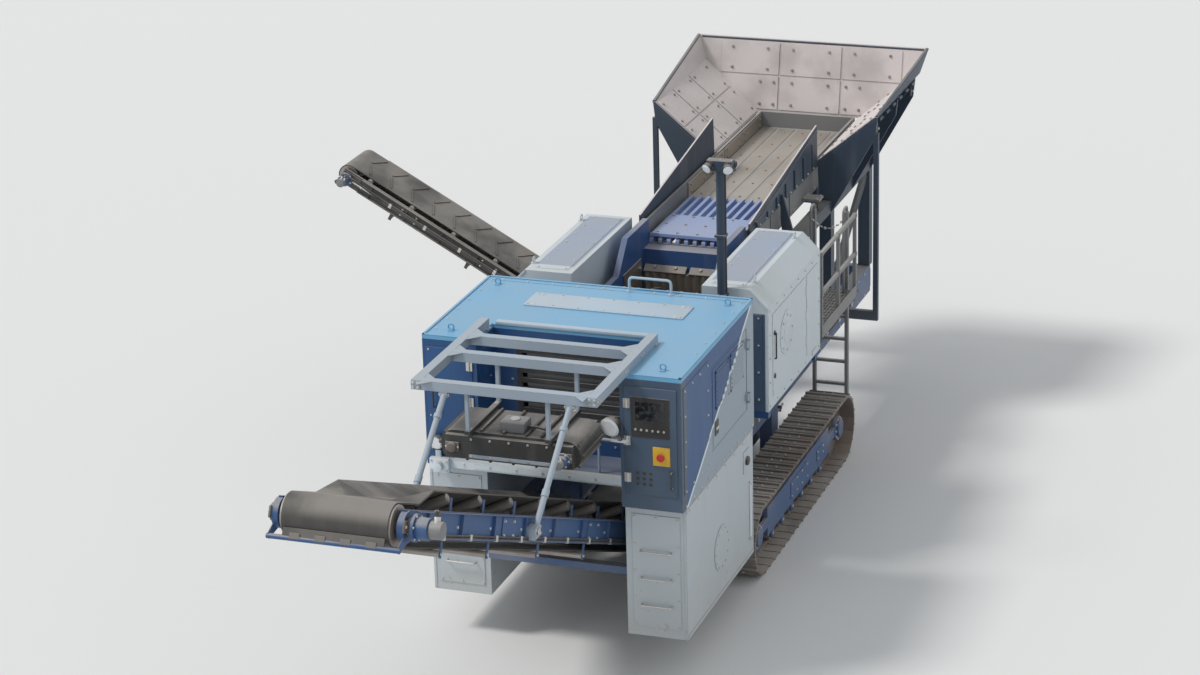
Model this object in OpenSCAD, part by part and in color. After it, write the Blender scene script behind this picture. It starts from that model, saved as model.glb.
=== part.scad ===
// Tracked mobile jaw crusher: X across, Y along the machine with the feed hopper at +Y, Z up.
// The origin is on the ground under the middle of the whole outline.

/* [Machine] */
// Overall width of the machine body
body_w = 3000; // [2940:10:3100]
// Height of the power pack roof above the ground
roof_z = 3400; // [3350:10:3550]

/* [Crawler tracks] */
// Distance between the idler and sprocket centres
track_len = 3400; // [3200:20:3600]
// Width of the track pads
pad_w = 500; // [420:10:520]

/* [Crusher] */
// Width of the crushing chamber
jaw_w = 1100; // [960:10:1140]
// Opening between the jaws at the top
gape = 700; // [620:10:740]
// Gap between the jaws at the bottom
css = 100; // [60:5:140]
// Diameter of the flywheels
flywheel_d = 1250; // [1100:10:1300]

/* [Feed] */
// Width over the top of the hopper
hopper_w = 3050; // [2900:10:3300]
// Height of the hopper rim above the ground
hopper_z = 4150; // [4000:10:4400]

/* [Conveyors] */
// Width of the discharge belt
belt_w = 1000; // [800:10:1050]
// Width of the side belt
side_belt_w = 650; // [500:10:700]

/* [Hidden] */
$fn = 48;
fit = 0.3;
run = 5;
hw = body_w / 2;
plate = 30;

// crawler tracks
track_h = 850;
track_x = hw - 30 - pad_w / 2;
track_r = track_h / 2;
chain_t = 100;
wheel_r = track_r - chain_t;

// chassis rails
rail_in = max(jaw_w / 2 + 150, belt_w / 2 + 200);
rail_w = 150;
rail_out = rail_in + rail_w;
rail_z0 = 950;
rail_z1 = 1300;
rail_y0 = -4150;
rail_y1 = 5200;

// crusher, with y and z of the jaw line
side_t = 70;
side_in = jaw_w / 2;
side_out = side_in + side_t;
jaw_z0 = 1650;
jaw_h = 1100;
jaw_y = 150;
jaw_t = 100;
jaw_a = atan((gape - css) / jaw_h);
jaw_l = sqrt(pow(gape - css, 2) + pow(jaw_h, 2));
shaft_y = -960;
shaft_z = 2600;
shaft_r = 120;
wall_y1 = jaw_y + jaw_t + 200;
body_y0 = shaft_y - 540;
body_z0 = rail_z1 + 200;
toggle_y0 = body_y0 + 550;
toggle_y1 = jaw_y - 570;
guard_in = side_out + 130;
wheel_x = guard_in + 100;
wheel_t = 200;
guard_y0 = shaft_y - flywheel_d / 2 - 55;
guard_y1 = guard_y0 + 2080;
guard_z0 = 1900;
guard_z1 = roof_z - 100;
mast_x = guard_in + 250;
mast_y = guard_y0 - 60;
mast_z = 4650;

// power pack
pack_yl = -4150;
pack_yr = -4700;
pack_y1 = -2200;
deck_z0 = 1960;
deck_z1 = 2040;
tank_z0 = 500;
roof_t = 40;
wall_z1 = roof_z - roof_t;
notch_x0 = -900;
notch_x1 = 850;
notch_y = -3650;
door_y0 = -3700;
door_y1 = -2450;
door_z0 = 2240;
door_z1 = wall_z1 - 200;
grille_x0 = notch_x0 + 250;
grille_x1 = notch_x1 - 250;
grille_z0 = deck_z1 + 160;
grille_z1 = wall_z1 - 160;
pin_r = 10;
knuckle_r = 18;
pin_x = hw + 24;

frame_y0 = -5650;
bay_y = [frame_y0, frame_y0 + 850, frame_y0 + 1350];
magnet_z1 = 3000;
stay_y = -6700;

// discharge conveyor centre line
belt_r = 200;
belt_t = 15;
tail_y = 1500;
tail_z = 600;
bend_y = -2300;
head_y = -9600;
head_z = 3750;
rise_a = atan((head_z - tail_z) / (bend_y - head_y));
rise_l = sqrt(pow(head_z - tail_z, 2) + pow(bend_y - head_y, 2));
conv_in = belt_w / 2 + 60;
belt_c = 200;
trough_a = 25;
wing = belt_w / 2 - belt_c;
trough_y = [300, 700, rise_l - 900, rise_l - 500];
idler_r = 50;
conv_t = 40;
conv_out = conv_in + conv_t;
flat_stations = [bend_y + 500 : 600 : tail_y - 400];
rise_stations = [trough_y[1] + 50 : 850 : trough_y[2] - 60];

// feeder and hopper
feed_in = 600;
feed_out = feed_in + plate;
feed_y0 = wall_y1 + 10;
feed_y1 = 5250;
feed_h = 400;
pan_z = 3050;
pan_t = 40;
bar_y1 = 2050;
beam_z1 = 2750;
beam_z0 = beam_z1 - 150;
spring_h = 150;
spring_r = 40;
seat_y = [900, 2750, 4700];
hop_y0 = 3300;
hop_y1 = 5300;
hop_lean = 180;
hop_z0 = pan_z + 180;
hop_x0 = feed_out + 30;
hop_xk = hopper_w / 2 - 125;
hop_zk = hopper_z - 300;
wing_z0 = pan_z + 250;
post_y = [620, hop_y0, hop_y1 - 150];

// service platform
stand_z = 1960;
rail_h = 1000;

// side conveyor
side_y = 1200;
side_px = -1000;
side_pz = 1450;
side_r = 130;
side_bt = 12;
side_l = 4000;
side_a = 29;
pivot_r = 30;
side_c_in = side_belt_w / 2 + 40;
side_c_out = side_c_in + 30;

// outline of the whole machine, which sets the origin
far_left = -side_px + side_l * cos(side_a) + side_r;
far_right = max(hopper_w / 2, pin_x + knuckle_r);
far_back = hop_y1 + hop_lean + plate;
far_front = -head_y + belt_r;
shift_x = (far_left - far_right) / 2;
shift_y = (far_front - far_back) / 2;

blue = [0.16, 0.30, 0.52];
navy = [0.09, 0.15, 0.22];
sky = [0.50, 0.71, 0.83];
white = [0.87, 0.90, 0.91];
grey = [0.55, 0.57, 0.58];
steel = [0.42, 0.40, 0.37];
dark = [0.14, 0.14, 0.14];

module placed() {
  translate([shift_x, shift_y, 0]) children();
}

module both() {
  children();
  mirror([1, 0, 0]) children();
}

// a round bar from point a to point b
module strut(a, b, r) {
  d = b - a;
  translate(a) rotate([0, acos(d[2] / norm(d)), atan2(d[1], d[0])]) cylinder(r = r, h = norm(d));
}

// a box from its low corner to its high corner
module span(a, b) {
  translate(a) cube(b - a);
}

// a plate with its outline in y and z, from x0 to x1
module side_plate(x0, x1) {
  translate([x0, 0, 0]) rotate([90, 0, 90]) linear_extrude(x1 - x0) children();
}

// a bar along x
module cross_rod(r, y, z, half) {
  translate([-half, y, z]) rotate([0, 90, 0]) cylinder(r = r, h = 2 * half);
}

module main_frame() {
  color(blue) placed() {
    both() {
      span([rail_in, rail_y0, rail_z0], [rail_out, rail_y1, rail_z1]);
      // track carriers
      for (y = [-800, 800]) {
        span([rail_in, y - 125, 330], [rail_out, y + 125, rail_z0]);
        span([rail_out, y - 125, 330], [track_x - 150, y + 125, 580]);
      }
      // conveyor hangers
      for (y = [bend_y + 300, tail_y - 300])
        span([conv_out, y, tail_z - 120], [rail_in, y + 100, rail_z0 + 100]);
      // guard brackets
      for (y = [guard_y0 + 50, guard_y1 - 130]) {
        span([rail_in + 20, y, rail_z1], [rail_out - 10, y + 100, guard_z0 - 100]);
        span([rail_in + 20, y, guard_z0 - 100], [hw - 20, y + 100, guard_z0]);
      }
    }
    // pivot brackets of the side conveyor
    for (s = [-1, 1]) translate([0, side_y, 0]) mirror([0, s > 0 ? 0 : 1, 0]) {
      translate([0, side_c_out + 46, 0]) rotate([90, 0, 0]) linear_extrude(40)
        polygon([
          [-rail_out, rail_z0 + 50], [side_px + 20, side_pz - 110], [side_px - 60, side_pz - 50],
          [side_px - 60, side_pz + 60], [side_px + 50, side_pz + 60], [-rail_out, rail_z1 + 100]
        ]);
      translate([side_px, side_c_out + 20, side_pz]) rotate([90, 0, 0])
        cylinder(r = pivot_r, h = side_c_out - side_c_in + 18);
    }
    span([-rail_in, rail_y0, rail_z0], [rail_in, rail_y0 + 100, rail_z0 + 80]);
    for (y = [2250, 3700, rail_y1 - 100]) span([-rail_in, y, rail_z0], [rail_in, y + 100, rail_z1]);
  }
}

module track_frame() {
  span([track_x - 150, -track_len / 2 + 420, chain_t + 160 + 2 * fit], [track_x + 150, track_len / 2 - 420, 600]);
  // axle forks at both ends
  for (x = [-150, 110], s = [-1, 1]) {
    translate([track_x + x, s > 0 ? track_len / 2 - 420 : -track_len / 2 - 60, track_r - 60])
      cube([40, 480, 120]);
  }
  // upper roller posts
  for (y = [-700, 700])
    span([track_x - 120, y - 40, 600], [track_x - 80, y + 40, 680]);
}

module left_track_frame() {
  color(blue) placed() mirror([1, 0, 0]) track_frame();
}

module right_track_frame() {
  color(blue) placed() track_frame();
}

module track_wheels() {
  for (y = [-track_len / 2, track_len / 2]) {
    translate([track_x - 60, y, track_r]) rotate([0, 90, 0]) cylinder(r = wheel_r - fit, h = 120);
    translate([track_x - 110 + fit, y, track_r]) rotate([0, 90, 0])
      cylinder(r = 110, h = 220 - 2 * fit);
  }
  // lower rollers
  for (y = [-1000 : 400 : 1000])
    translate([track_x - 100, y, chain_t + 80 + fit]) rotate([0, 90, 0]) cylinder(r = 80, h = 200);
}

module left_track_wheels() {
  color(steel) placed() mirror([1, 0, 0]) track_wheels();
}

module right_track_wheels() {
  color(steel) placed() track_wheels();
}

module stadium(r) {
  for (y = [-track_len / 2, track_len / 2]) translate([y, track_r]) circle(r);
  translate([-track_len / 2, track_r - r]) square([track_len, 2 * r]);
}

module pad() {
  span([track_x - pad_w / 2, -85, -track_r + 25], [track_x + pad_w / 2, 85, -track_r + 55]);
  span([track_x - pad_w / 2, -12, -track_r], [track_x + pad_w / 2, 12, -track_r + 25]);
}

module track_chain() {
  side_plate(track_x - 70, track_x + 70) difference() {
    stadium(track_r - 45);
    stadium(wheel_r);
  }
  for (i = [-9 : 9], s = [0, 180]) {
    translate([0, i * track_len / 18, track_r]) rotate([s, 0, 0]) pad();
  }
  for (i = [1 : 6], s = [0, 180]) {
    translate([0, s > 0 ? -track_len / 2 : track_len / 2, track_r]) rotate([i * 180 / 7 + s, 0, 0]) pad();
  }
}

module left_track_chain() {
  color(dark) placed() mirror([1, 0, 0]) track_chain();
}

module right_track_chain() {
  color(dark) placed() track_chain();
}

module crusher_side() {
  polygon([
    [body_y0, rail_z1], [wall_y1, rail_z1], [wall_y1, wing_z0], [wall_y1 - 750, wing_z0],
    [shaft_y + 320, shaft_z + 350], [body_y0 + 150, shaft_z + 350], [body_y0, shaft_z + 200]
  ]);
}

module crusher_body() {
  color(navy) placed() {
    both() {
      difference() {
        union() {
          side_plate(side_in, side_out) crusher_side();
          translate([side_out, shaft_y, shaft_z]) rotate([0, 90, 0]) cylinder(r = 240, h = 80);
        }
        translate([side_in - 1, shaft_y, shaft_z]) rotate([0, 90, 0])
          cylinder(r = shaft_r + fit, h = side_t + 100);
      }
      for (y = [body_y0 + 50, -10]) span([side_in, y, rail_z1], [rail_out, y + 300, rail_z1 + 120]);
      // stiffening ribs
      for (y = [body_y0 + 100, -600, -250, 150, wall_y1 - 70])
        span([side_out, y, rail_z1 + 120], [side_out + 60, y + 40, shaft_z - 350]);
      for (z = [jaw_z0 + 50, shaft_z - 390])
        span([side_out, body_y0 + 100, z], [side_out + 60, wall_y1 - 30, z + 40]);
    }
    span([-side_in, jaw_y + jaw_t, jaw_z0 - 60], [side_in, wall_y1, pan_z - pan_t - 10]);
    span([-side_in, toggle_y0 - 150, body_z0], [side_in, toggle_y0, body_z0 + 500]);
    span([-side_in, body_y0, body_z0], [side_in, body_y0 + 40, body_z0 + 1000]);
  }
}

// teeth along the height, facing +y from y = 0
module tooth_row(half) {
  n = 11;
  p = 2 * half / n;
  polygon(concat(
    [[half, -jaw_t], [-half, -jaw_t]],
    [for (i = [0 : n - 1], k = [0, 1]) [-half + (i + k * 0.5) * p + (k == 0 ? 0.12 : 0) * p, k == 0 ? -40 : 0]],
    [[half, -40]]
  ));
}

module fixed_jaw_plate() {
  color(steel) placed() translate([0, jaw_y, jaw_z0]) rotate([0, 0, 180])
    linear_extrude(jaw_h) tooth_row(side_in - fit);
}

module in_swing() {
  translate([0, jaw_y - css, jaw_z0]) rotate([jaw_a, 0, 0]) children();
}

module swing_jaw_plate() {
  color(steel) placed() in_swing() linear_extrude(jaw_l) tooth_row(side_in - 12);
}

module swing_jaw() {
  half = side_in - 8;
  color(blue) placed() side_plate(-half, half) difference() {
    union() {
      translate([jaw_y - css, jaw_z0]) rotate(jaw_a)
        polygon([[-jaw_t, 0], [-jaw_t, jaw_l], [-330, 1480], [-680, 1180], [-420, 300], [-330, 0]]);
      translate([shaft_y, shaft_z]) circle(280);
      translate([toggle_y1, jaw_z0 - 90]) square([120, 140]);
    }
    translate([shaft_y, shaft_z]) circle(shaft_r + fit);
  }
}

module toggle_plate() {
  color(steel) placed() span([-350, toggle_y0 + fit, jaw_z0 - 50], [350, toggle_y1 - fit, jaw_z0 + 10]);
}

module eccentric_shaft() {
  color(steel) placed() cross_rod(shaft_r, shaft_y, shaft_z, wheel_x + wheel_t + 40);
}

module flywheel() {
  translate([wheel_x, shaft_y, shaft_z]) rotate([0, 90, 0]) difference() {
    cylinder(r = flywheel_d / 2, h = wheel_t);
    translate([0, 0, 130]) difference() {
      cylinder(r = flywheel_d / 2 - 110, h = wheel_t);
      cylinder(r = 210, h = wheel_t);
    }
    translate([0, 0, -1]) cylinder(r = shaft_r + fit, h = wheel_t + 2);
  }
}

module left_flywheel() {
  color(steel) placed() mirror([1, 0, 0]) flywheel();
}

module right_flywheel() {
  color(steel) placed() flywheel();
}

module guard_outline(t) {
  polygon([
    [guard_in + t, guard_z0 + t], [hw - t, guard_z0 + t], [hw - t, guard_z1 - 200 - t * 0.4],
    [hw - 200 - t * 0.4, guard_z1 - t], [guard_in + t, guard_z1 - t]
  ]);
}

module flywheel_guard() {
  difference() {
    translate([0, guard_y1, 0]) rotate([90, 0, 0])
      linear_extrude(guard_y1 - guard_y0) guard_outline(0);
    translate([0, guard_y1 - plate, 0]) rotate([90, 0, 0])
      linear_extrude(guard_y1 - guard_y0 - 2 * plate) guard_outline(plate);
    translate([guard_in - 1, shaft_y, shaft_z]) rotate([0, 90, 0]) cylinder(r = shaft_r + 40, h = plate + 2);
  }
}

module left_flywheel_guard() {
  color(white) placed() mirror([1, 0, 0]) flywheel_guard();
}

module right_flywheel_guard() {
  color(white) placed() flywheel_guard();
}

module feeder_trough() {
  color(grey) placed() {
    both() {
      span([feed_in, feed_y0, pan_z - 200], [feed_out, feed_y1, pan_z - 200 + feed_h]);
      for (y = seat_y)
        span([feed_out, y, beam_z1 + spring_h], [rail_out, y + 200, beam_z1 + spring_h + 30]);
      for (y = [1400, 2200, 3600, 4200])
        span([feed_out, y, pan_z - 180], [feed_out + 12, y + 12, pan_z + 120]);
    }
    span([-feed_in, bar_y1, pan_z - pan_t], [feed_in, feed_y1, pan_z]);
    span([-feed_in, feed_y1 - plate, pan_z], [feed_in, feed_y1, pan_z - 200 + feed_h]);
    for (y = [feed_y0, 1250, bar_y1 - 20, 3400, 4500])
      span([-feed_in, y, pan_z - pan_t - 140], [feed_in, y + 60, pan_z - pan_t]);
  }
}

module grizzly_bars() {
  color(steel) placed()
    for (i = [-5 : 5]) translate([i * 105, 0, 0]) side_plate(-22, 22)
      polygon([
        [feed_y0, pan_z - pan_t], [bar_y1, pan_z - pan_t], [bar_y1, pan_z + 50], [feed_y0 + 60, pan_z + 50],
        [feed_y0, pan_z]
      ]);
}

module feeder_springs() {
  color(dark) placed() both()
    for (y = seat_y, d = [55, 145])
      translate([(feed_out + rail_out) / 2 + 30, y + d, beam_z1]) cylinder(r = spring_r, h = spring_h);
}

module feeder_drive() {
  color(blue) placed() {
    span([-feed_in + 5, 3550, pan_z - 430], [feed_in - 5, 3950, pan_z - pan_t]);
    span([-250, 3950, pan_z - 380], [250, 4350, pan_z - 120]);
    translate([0, 3800, pan_z - 250]) rotate([0, 90, 0]) cylinder(r = 150, h = 2 * feed_in - 20, center = true);
  }
}

module hopper_side(t) {
  polygon([
    [hop_x0, hop_z0], [hop_xk, hop_zk], [hopper_w / 2 - t, hopper_z], [hopper_w / 2, hopper_z],
    [hop_xk + t * 0.9, hop_zk - t * 0.5], [hop_x0 + t * 0.6, hop_z0 - t * 0.8]
  ]);
}

module hopper_side_wall() {
  difference() {
    translate([0, hop_y1 + hop_lean + plate, 0]) rotate([90, 0, 0])
      linear_extrude(hop_y1 + hop_lean + plate - hop_y0) hopper_side(plate);
    side_plate(hop_x0 - 10, hopper_w / 2 + 10) rear_slab(plate, 400);
    // the rim rises towards the rear
    side_plate(hop_x0 - 10, hopper_w / 2 + 10)
      polygon([
        [hop_y0 - 10, hop_zk], [hop_y1 + hop_lean, hopper_z], [hop_y1 + hop_lean, hopper_z + 100],
        [hop_y0 - 10, hopper_z + 100]
      ]);
  }
  // front wing beside the grizzly
  side_plate(hop_x0 - 10, hop_x0 + 10)
    polygon([
      [feed_y0, hop_z0 - 60], [hop_y0 + 30, hop_z0 - 60], [hop_y0 + 30, hop_z0 + 40],
      [hop_y0, hop_zk - 150], [feed_y0, wing_z0 + 30]
    ]);
}

// the leaning rear wall in y and z, from t0 to t1 behind its inner face
module rear_slab(t0, t1) {
  k = hop_lean / (hopper_z - hop_z0);
  polygon([
    [hop_y1 + t0 - 100 * k, hop_z0 - 100], [hop_y1 + t1 - 100 * k, hop_z0 - 100],
    [hop_y1 + t1 + hop_lean + 50 * k, hopper_z + 50], [hop_y1 + t0 + hop_lean + 50 * k, hopper_z + 50]
  ]);
}

module hopper_left_wall() {
  color(navy) placed() mirror([1, 0, 0]) hopper_side_wall();
}

module hopper_right_wall() {
  color(navy) placed() hopper_side_wall();
}

module hopper_rear_wall() {
  color(navy) placed() intersection() {
    side_plate(-hopper_w / 2, hopper_w / 2) rear_slab(0, plate);
    translate([0, hop_y1 + 400, 0]) rotate([90, 0, 0]) linear_extrude(500)
      polygon([
        [-hop_x0, hop_z0], [hop_x0, hop_z0], [hop_xk, hop_zk], [hopper_w / 2 - plate, hopper_z],
        [-hopper_w / 2 + plate, hopper_z], [-hop_xk, hop_zk]
      ]);
  }
}

module hopper_supports() {
  color(blue) placed() both() {
    for (y = post_y) span([rail_in, y, rail_z1], [rail_out, y + 150, beam_z0]);
    span([rail_in, post_y[0], beam_z0], [rail_out, post_y[2] + 150, beam_z1]);
    strut([rail_in + 75, post_y[1] + 100, rail_z1 + 120], [rail_in + 75, post_y[2] + 50, beam_z0 - 60], 45);
    // outriggers under the hopper walls
    for (y = [hop_y0 + 40, 4350, hop_y1 - 80])
      translate([0, y, 0]) rotate([90, 0, 0]) linear_extrude(40)
        polygon([
          [rail_in, beam_z1], [rail_out, beam_z1], [rail_out, beam_z0], [hop_xk, hop_zk - 260],
          [hop_xk + plate * 0.9, hop_zk - plate * 0.5], [hop_x0 + plate * 0.6, hop_z0 - plate * 0.8]
        ]);
    // outer front posts on their outriggers
    span([rail_out, hop_y0, rail_z1 - 60], [hop_xk + 40, hop_y0 + 60, rail_z1 + 60]);
    span([hop_xk - 20, hop_y0, rail_z1], [hop_xk + 40, hop_y0 + 60, hop_zk - 200]);
    // posts of the front wings
    for (y = [post_y[0] + 20, 1700])
      translate([0, y + 40, 0]) rotate([90, 0, 0]) linear_extrude(40)
        polygon([
          [rail_in, beam_z1], [rail_out, beam_z1], [hop_x0 + 40, wing_z0], [hop_x0 + 10, wing_z0],
          [hop_x0 + 10, beam_z1 + 250]
        ]);
  }
}

module fines_chute() {
  color(grey) placed() {
    translate([0, side_y + 300, 0]) rotate([90, 0, 0]) linear_extrude(600)
      polygon([
        [rail_in, beam_z1 - 20], [rail_in, beam_z1 - 60], [590, beam_z1 - 70], [-840, 1580], [-840, 1620],
        [590, beam_z1 - 30]
      ]);
    for (y = [side_y - 300, side_y + 320])
      translate([0, y, 0]) rotate([90, 0, 0]) linear_extrude(20)
        polygon([
          [600, beam_z1 - 60], [-840, 1580], [-840, beam_z0], [-600, beam_z0], [-500, pan_z - 190],
          [580, pan_z - 190]
        ]);
  }
}

module on_side() {
  translate([side_px, side_y, side_pz]) mirror([1, 0, 0]) rotate([0, -side_a, 0]) children();
}

module side_loop(r) {
  circle(r);
  translate([side_l, 0]) circle(r);
  translate([0, -r]) square([side_l, 2 * r]);
}

module side_conveyor_frame() {
  color(dark) placed() on_side() {
    difference() {
      for (s = [-1, 1])
        translate([0, s > 0 ? side_c_in : -side_c_out, 0])
          span([-70, 0, -90], [side_l + 60, side_c_out - side_c_in, 90]);
      translate([0, side_c_out + 10, 0]) rotate([90, 0, 0])
        cylinder(r = pivot_r + fit, h = 2 * side_c_out + 20);
    }
    // skirts above the belt
    for (s = [-1, 1])
      translate([0, s > 0 ? side_c_in : -side_c_in - 10, 0])
        span([-30, 0, 90], [1300, 10, 260]);
    for (x = [400 : 800 : side_l - 300]) span([x, -side_c_in, -30], [x + 50, side_c_in, 20]);
    // scraper beam below the head drum
    span([side_l - 150, -side_c_in, -60], [side_l - 140, side_c_in, -20]);
  }
}

module side_conveyor_belt() {
  color(dark) placed() on_side() translate([0, side_belt_w / 2, 0]) rotate([90, 0, 0])
    linear_extrude(side_belt_w) difference() {
      side_loop(side_r);
      side_loop(side_r - side_bt);
    }
}

module side_conveyor_rollers() {
  color(steel) placed() on_side() {
    for (x = [0, side_l])
      translate([x, side_c_in - fit, 0]) rotate([90, 0, 0]) {
        translate([0, 0, 40 - fit]) cylinder(r = side_r - side_bt - fit, h = side_belt_w);
        cylinder(r = 45, h = 2 * (side_c_in - fit));
      }
    for (x = [600 : 600 : side_l - 400])
      translate([x + 120, side_c_in - fit, side_r - side_bt - fit - 35]) rotate([90, 0, 0])
        cylinder(r = 35, h = 2 * (side_c_in - fit), $fn = 24);
  }
}

module main_line(r) {
  translate([tail_y, tail_z]) circle(r);
  translate([bend_y, tail_z - r]) square([tail_y - bend_y, 2 * r]);
  translate([bend_y, tail_z]) {
    circle(r);
    rotate(180 - rise_a) {
      translate([0, -r]) square([rise_l, 2 * r]);
      translate([rise_l, 0]) circle(r);
    }
  }
}

module on_rise() {
  translate([0, bend_y, tail_z]) rotate([-rise_a, 0, 0]) mirror([0, 1, 0]) children();
}

module idler_bracket() {
  span([-conv_in - 5, 0, -30], [conv_in + 5, 50, 30]);
  both() {
    span([belt_c - 13, 0, 30], [belt_c - 3, 50, belt_r - belt_t - idler_r + 20]);
    span([conv_in - 52, 0, 30], [conv_in - 42, 50, belt_r + 70]);
  }
}

module main_conveyor_frame() {
  k = head_z - tail_z;
  color(blue) placed() {
    both() {
      side_plate(conv_in, conv_out) polygon([
        [tail_y + 80, tail_z - 120], [tail_y + 80, tail_z + 160], [600, tail_z + 160], [600, 1200],
        [-1400, 1200], [-1400, tail_z + 160], [bend_y, tail_z + 160], [head_y, tail_z + 160 + k],
        [head_y, tail_z - 120 + k], [bend_y, tail_z - 120]
      ]);
      // bearing plates of the head drum
      translate([conv_in, head_y, head_z]) rotate([0, 90, 0]) cylinder(r = 140, h = conv_t + 20);
    }
    on_rise() for (y = rise_stations) translate([0, y, 0]) idler_bracket();
  }
}

// one wing of the troughed belt, as a strip in x and z, thinner by t all round
module wing_strip(a, t) {
  translate([belt_c, belt_r - belt_t]) rotate(a) translate([t, t]) square([wing - 2 * t, belt_t - 2 * t]);
}

// a slice of the wings at y along the rising run
module wing_slice(y, a) {
  translate([0, y + 10, 0]) rotate([90, 0, 0]) linear_extrude(20) wing_strip(a, 2);
}

module main_conveyor_belt() {
  color(dark) placed() {
    difference() {
      side_plate(-belt_w / 2, belt_w / 2) difference() {
        main_line(belt_r);
        main_line(belt_r - belt_t);
      }
      on_rise() both() span([belt_c + 10, trough_y[0], 100], [belt_w, trough_y[3], 300]);
    }
    on_rise() both() {
      translate([0, trough_y[2], 0]) rotate([90, 0, 0]) linear_extrude(trough_y[2] - trough_y[1])
        wing_strip(trough_a, 0);
      for (k = [0, 3]) hull() {
        wing_slice(trough_y[k], 0);
        wing_slice(trough_y[k == 0 ? 1 : 2], trough_a);
      }
    }
  }
}

module idler_set() {
  rotate([0, 90, 0]) translate([idler_r + fit - belt_r + belt_t, 0, 0])
    cylinder(r = idler_r, h = 2 * belt_c - 30, center = true, $fn = 24);
  both() translate([belt_c, 0, belt_r - belt_t]) rotate([0, 90 - trough_a, 0])
    translate([idler_r + fit, 0, 15]) cylinder(r = idler_r, h = wing - 30, $fn = 24);
}

module main_conveyor_rollers() {
  color(steel) placed() {
    for (p = [[tail_y, tail_z], [head_y, head_z]]) {
      cross_rod(belt_r - belt_t - fit, p[0], p[1], belt_w / 2 + 20);
      cross_rod(50, p[0], p[1], conv_in - fit);
    }
    for (y = flat_stations) cross_rod(idler_r, y, tail_z + belt_r - belt_t - idler_r - fit, conv_in - fit);
    on_rise() for (y = rise_stations) translate([0, y + 25, 0]) idler_set();
  }
}

module pack_outline(t) {
  polygon([
    [-hw + t, pack_yl + t], [notch_x0 - t, pack_yl + t], [notch_x0 - t, notch_y + t],
    [notch_x1 + t, notch_y + t], [notch_x1 + t, pack_yr + t], [hw - t, pack_yr + t],
    [hw - t, pack_y1 - t], [-hw + t, pack_y1 - t]
  ]);
}

module power_pack_body() {
  color(blue) placed() {
    span([-hw, pack_yl, deck_z0], [hw, pack_y1, deck_z1]);
    span([notch_x1, pack_yr, deck_z0], [hw, pack_yl, deck_z1]);
    difference() {
      translate([0, 0, deck_z1]) linear_extrude(wall_z1 - deck_z1) difference() {
        pack_outline(0);
        pack_outline(40);
      }
      span([hw - 60, door_y0, door_z0], [hw + 20, door_y1, door_z1]);
      span([grille_x0, notch_y - 1, grille_z0], [grille_x1, notch_y + 60, grille_z1]);
    }
    // hinge pins of the door
    for (z = [door_z0 + 120, door_z1 - 200]) {
      span([hw, door_y1 + 8, z - 40], [pin_x + 8, door_y1 + 45, z]);
      translate([pin_x, door_y1, z - 40]) {
        cylinder(r = pin_r, h = 120);
        cylinder(r = knuckle_r, h = 40);
      }
    }
  }
}

module power_pack_roof() {
  color(sky) placed() translate([0, 0, wall_z1]) linear_extrude(roof_t) pack_outline(0);
}

module power_pack_door() {
  color(blue) placed() {
    span([hw - 38, door_y0 + run, door_z0 + run], [hw, door_y1 - 24, door_z1 - run]);
    for (z = [door_z0 + 120, door_z1 - 200]) {
      difference() {
        union() {
          translate([pin_x, door_y1, z + fit]) cylinder(r = knuckle_r, h = 75);
          span([hw, door_y1 - 70, z + fit], [pin_x + 8, door_y1 - 8, z + 75]);
        }
        translate([pin_x, door_y1, z]) cylinder(r = pin_r + fit, h = 80);
      }
    }
  }
}

module radiator_grille() {
  color(dark) placed() {
    difference() {
      span([grille_x0 + fit, notch_y, grille_z0 + fit], [grille_x1 - fit, notch_y + 40, grille_z1 - fit]);
      for (z = [grille_z0 + 80 : 110 : grille_z1 - 120])
        span([grille_x0 + 60, notch_y - 1, z], [grille_x1 - 60, notch_y + 41, z + 60]);
    }
  }
}

module engine_block() {
  color(grey) placed() {
    span([-500, notch_y + 250, deck_z1], [400, pack_y1 - 150, 2900]);
    span([grille_x0 + 100, notch_y + 45, deck_z1], [grille_x1 - 100, notch_y + 250, grille_z1 - 60]);
    // filter housing and side covers behind the door
    translate([650, notch_y + 350, 2600]) rotate([-90, 0, 0]) cylinder(r = 180, h = 700);
    span([400, notch_y + 450, deck_z1], [800, notch_y + 950, 2500]);
  }
}

module conveyor_stays() {
  x = conv_out + 60;
  low = [x, stay_y, tail_z + (bend_y - stay_y) * tan(rise_a)];
  color(grey) placed() both() {
    strut([x, frame_y0 + 30, roof_z - 30], low, 30);
    span([x - 40, frame_y0, roof_z - 60], [x + 40, frame_y0 + 60, roof_z]);
    span([conv_out, stay_y - 80, low[2] - 60], [x + 35, stay_y + 80, low[2] + 60]);
  }
}

module tank(y0) {
  difference() {
    span([rail_out, y0, tank_z0], [hw, pack_y1 - 60, deck_z0]);
    span([rail_out + 40, y0 + 40, tank_z0 + 40], [hw - 40, pack_y1 - 100, deck_z0 - 40]);
  }
}

module left_tank() {
  color(white) placed() mirror([1, 0, 0]) tank(pack_yl + 50);
}

module right_tank() {
  color(white) placed() tank(pack_yr + 100);
}

module front_beam() {
  color(white) placed() span([-1400, pack_yl - 80, deck_z0 + 10], [750, pack_yl, deck_z1 + 20]);
}

module magnet_frame() {
  z = roof_z;
  color(grey) placed() {
    for (x = [notch_x0 - 100, notch_x1]) span([x, frame_y0, z], [x + 100, notch_y - 100, z + 100]);
    for (y = bay_y) span([notch_x0, y, z], [notch_x1, y + 100, z + 100]);
    // hangers of the magnet
    for (x = [-450, 400], y = [bay_y[0] + 30, bay_y[1] + 30])
      span([x, y, magnet_z1], [x + 40, y + 40, z]);
  }
}

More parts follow.
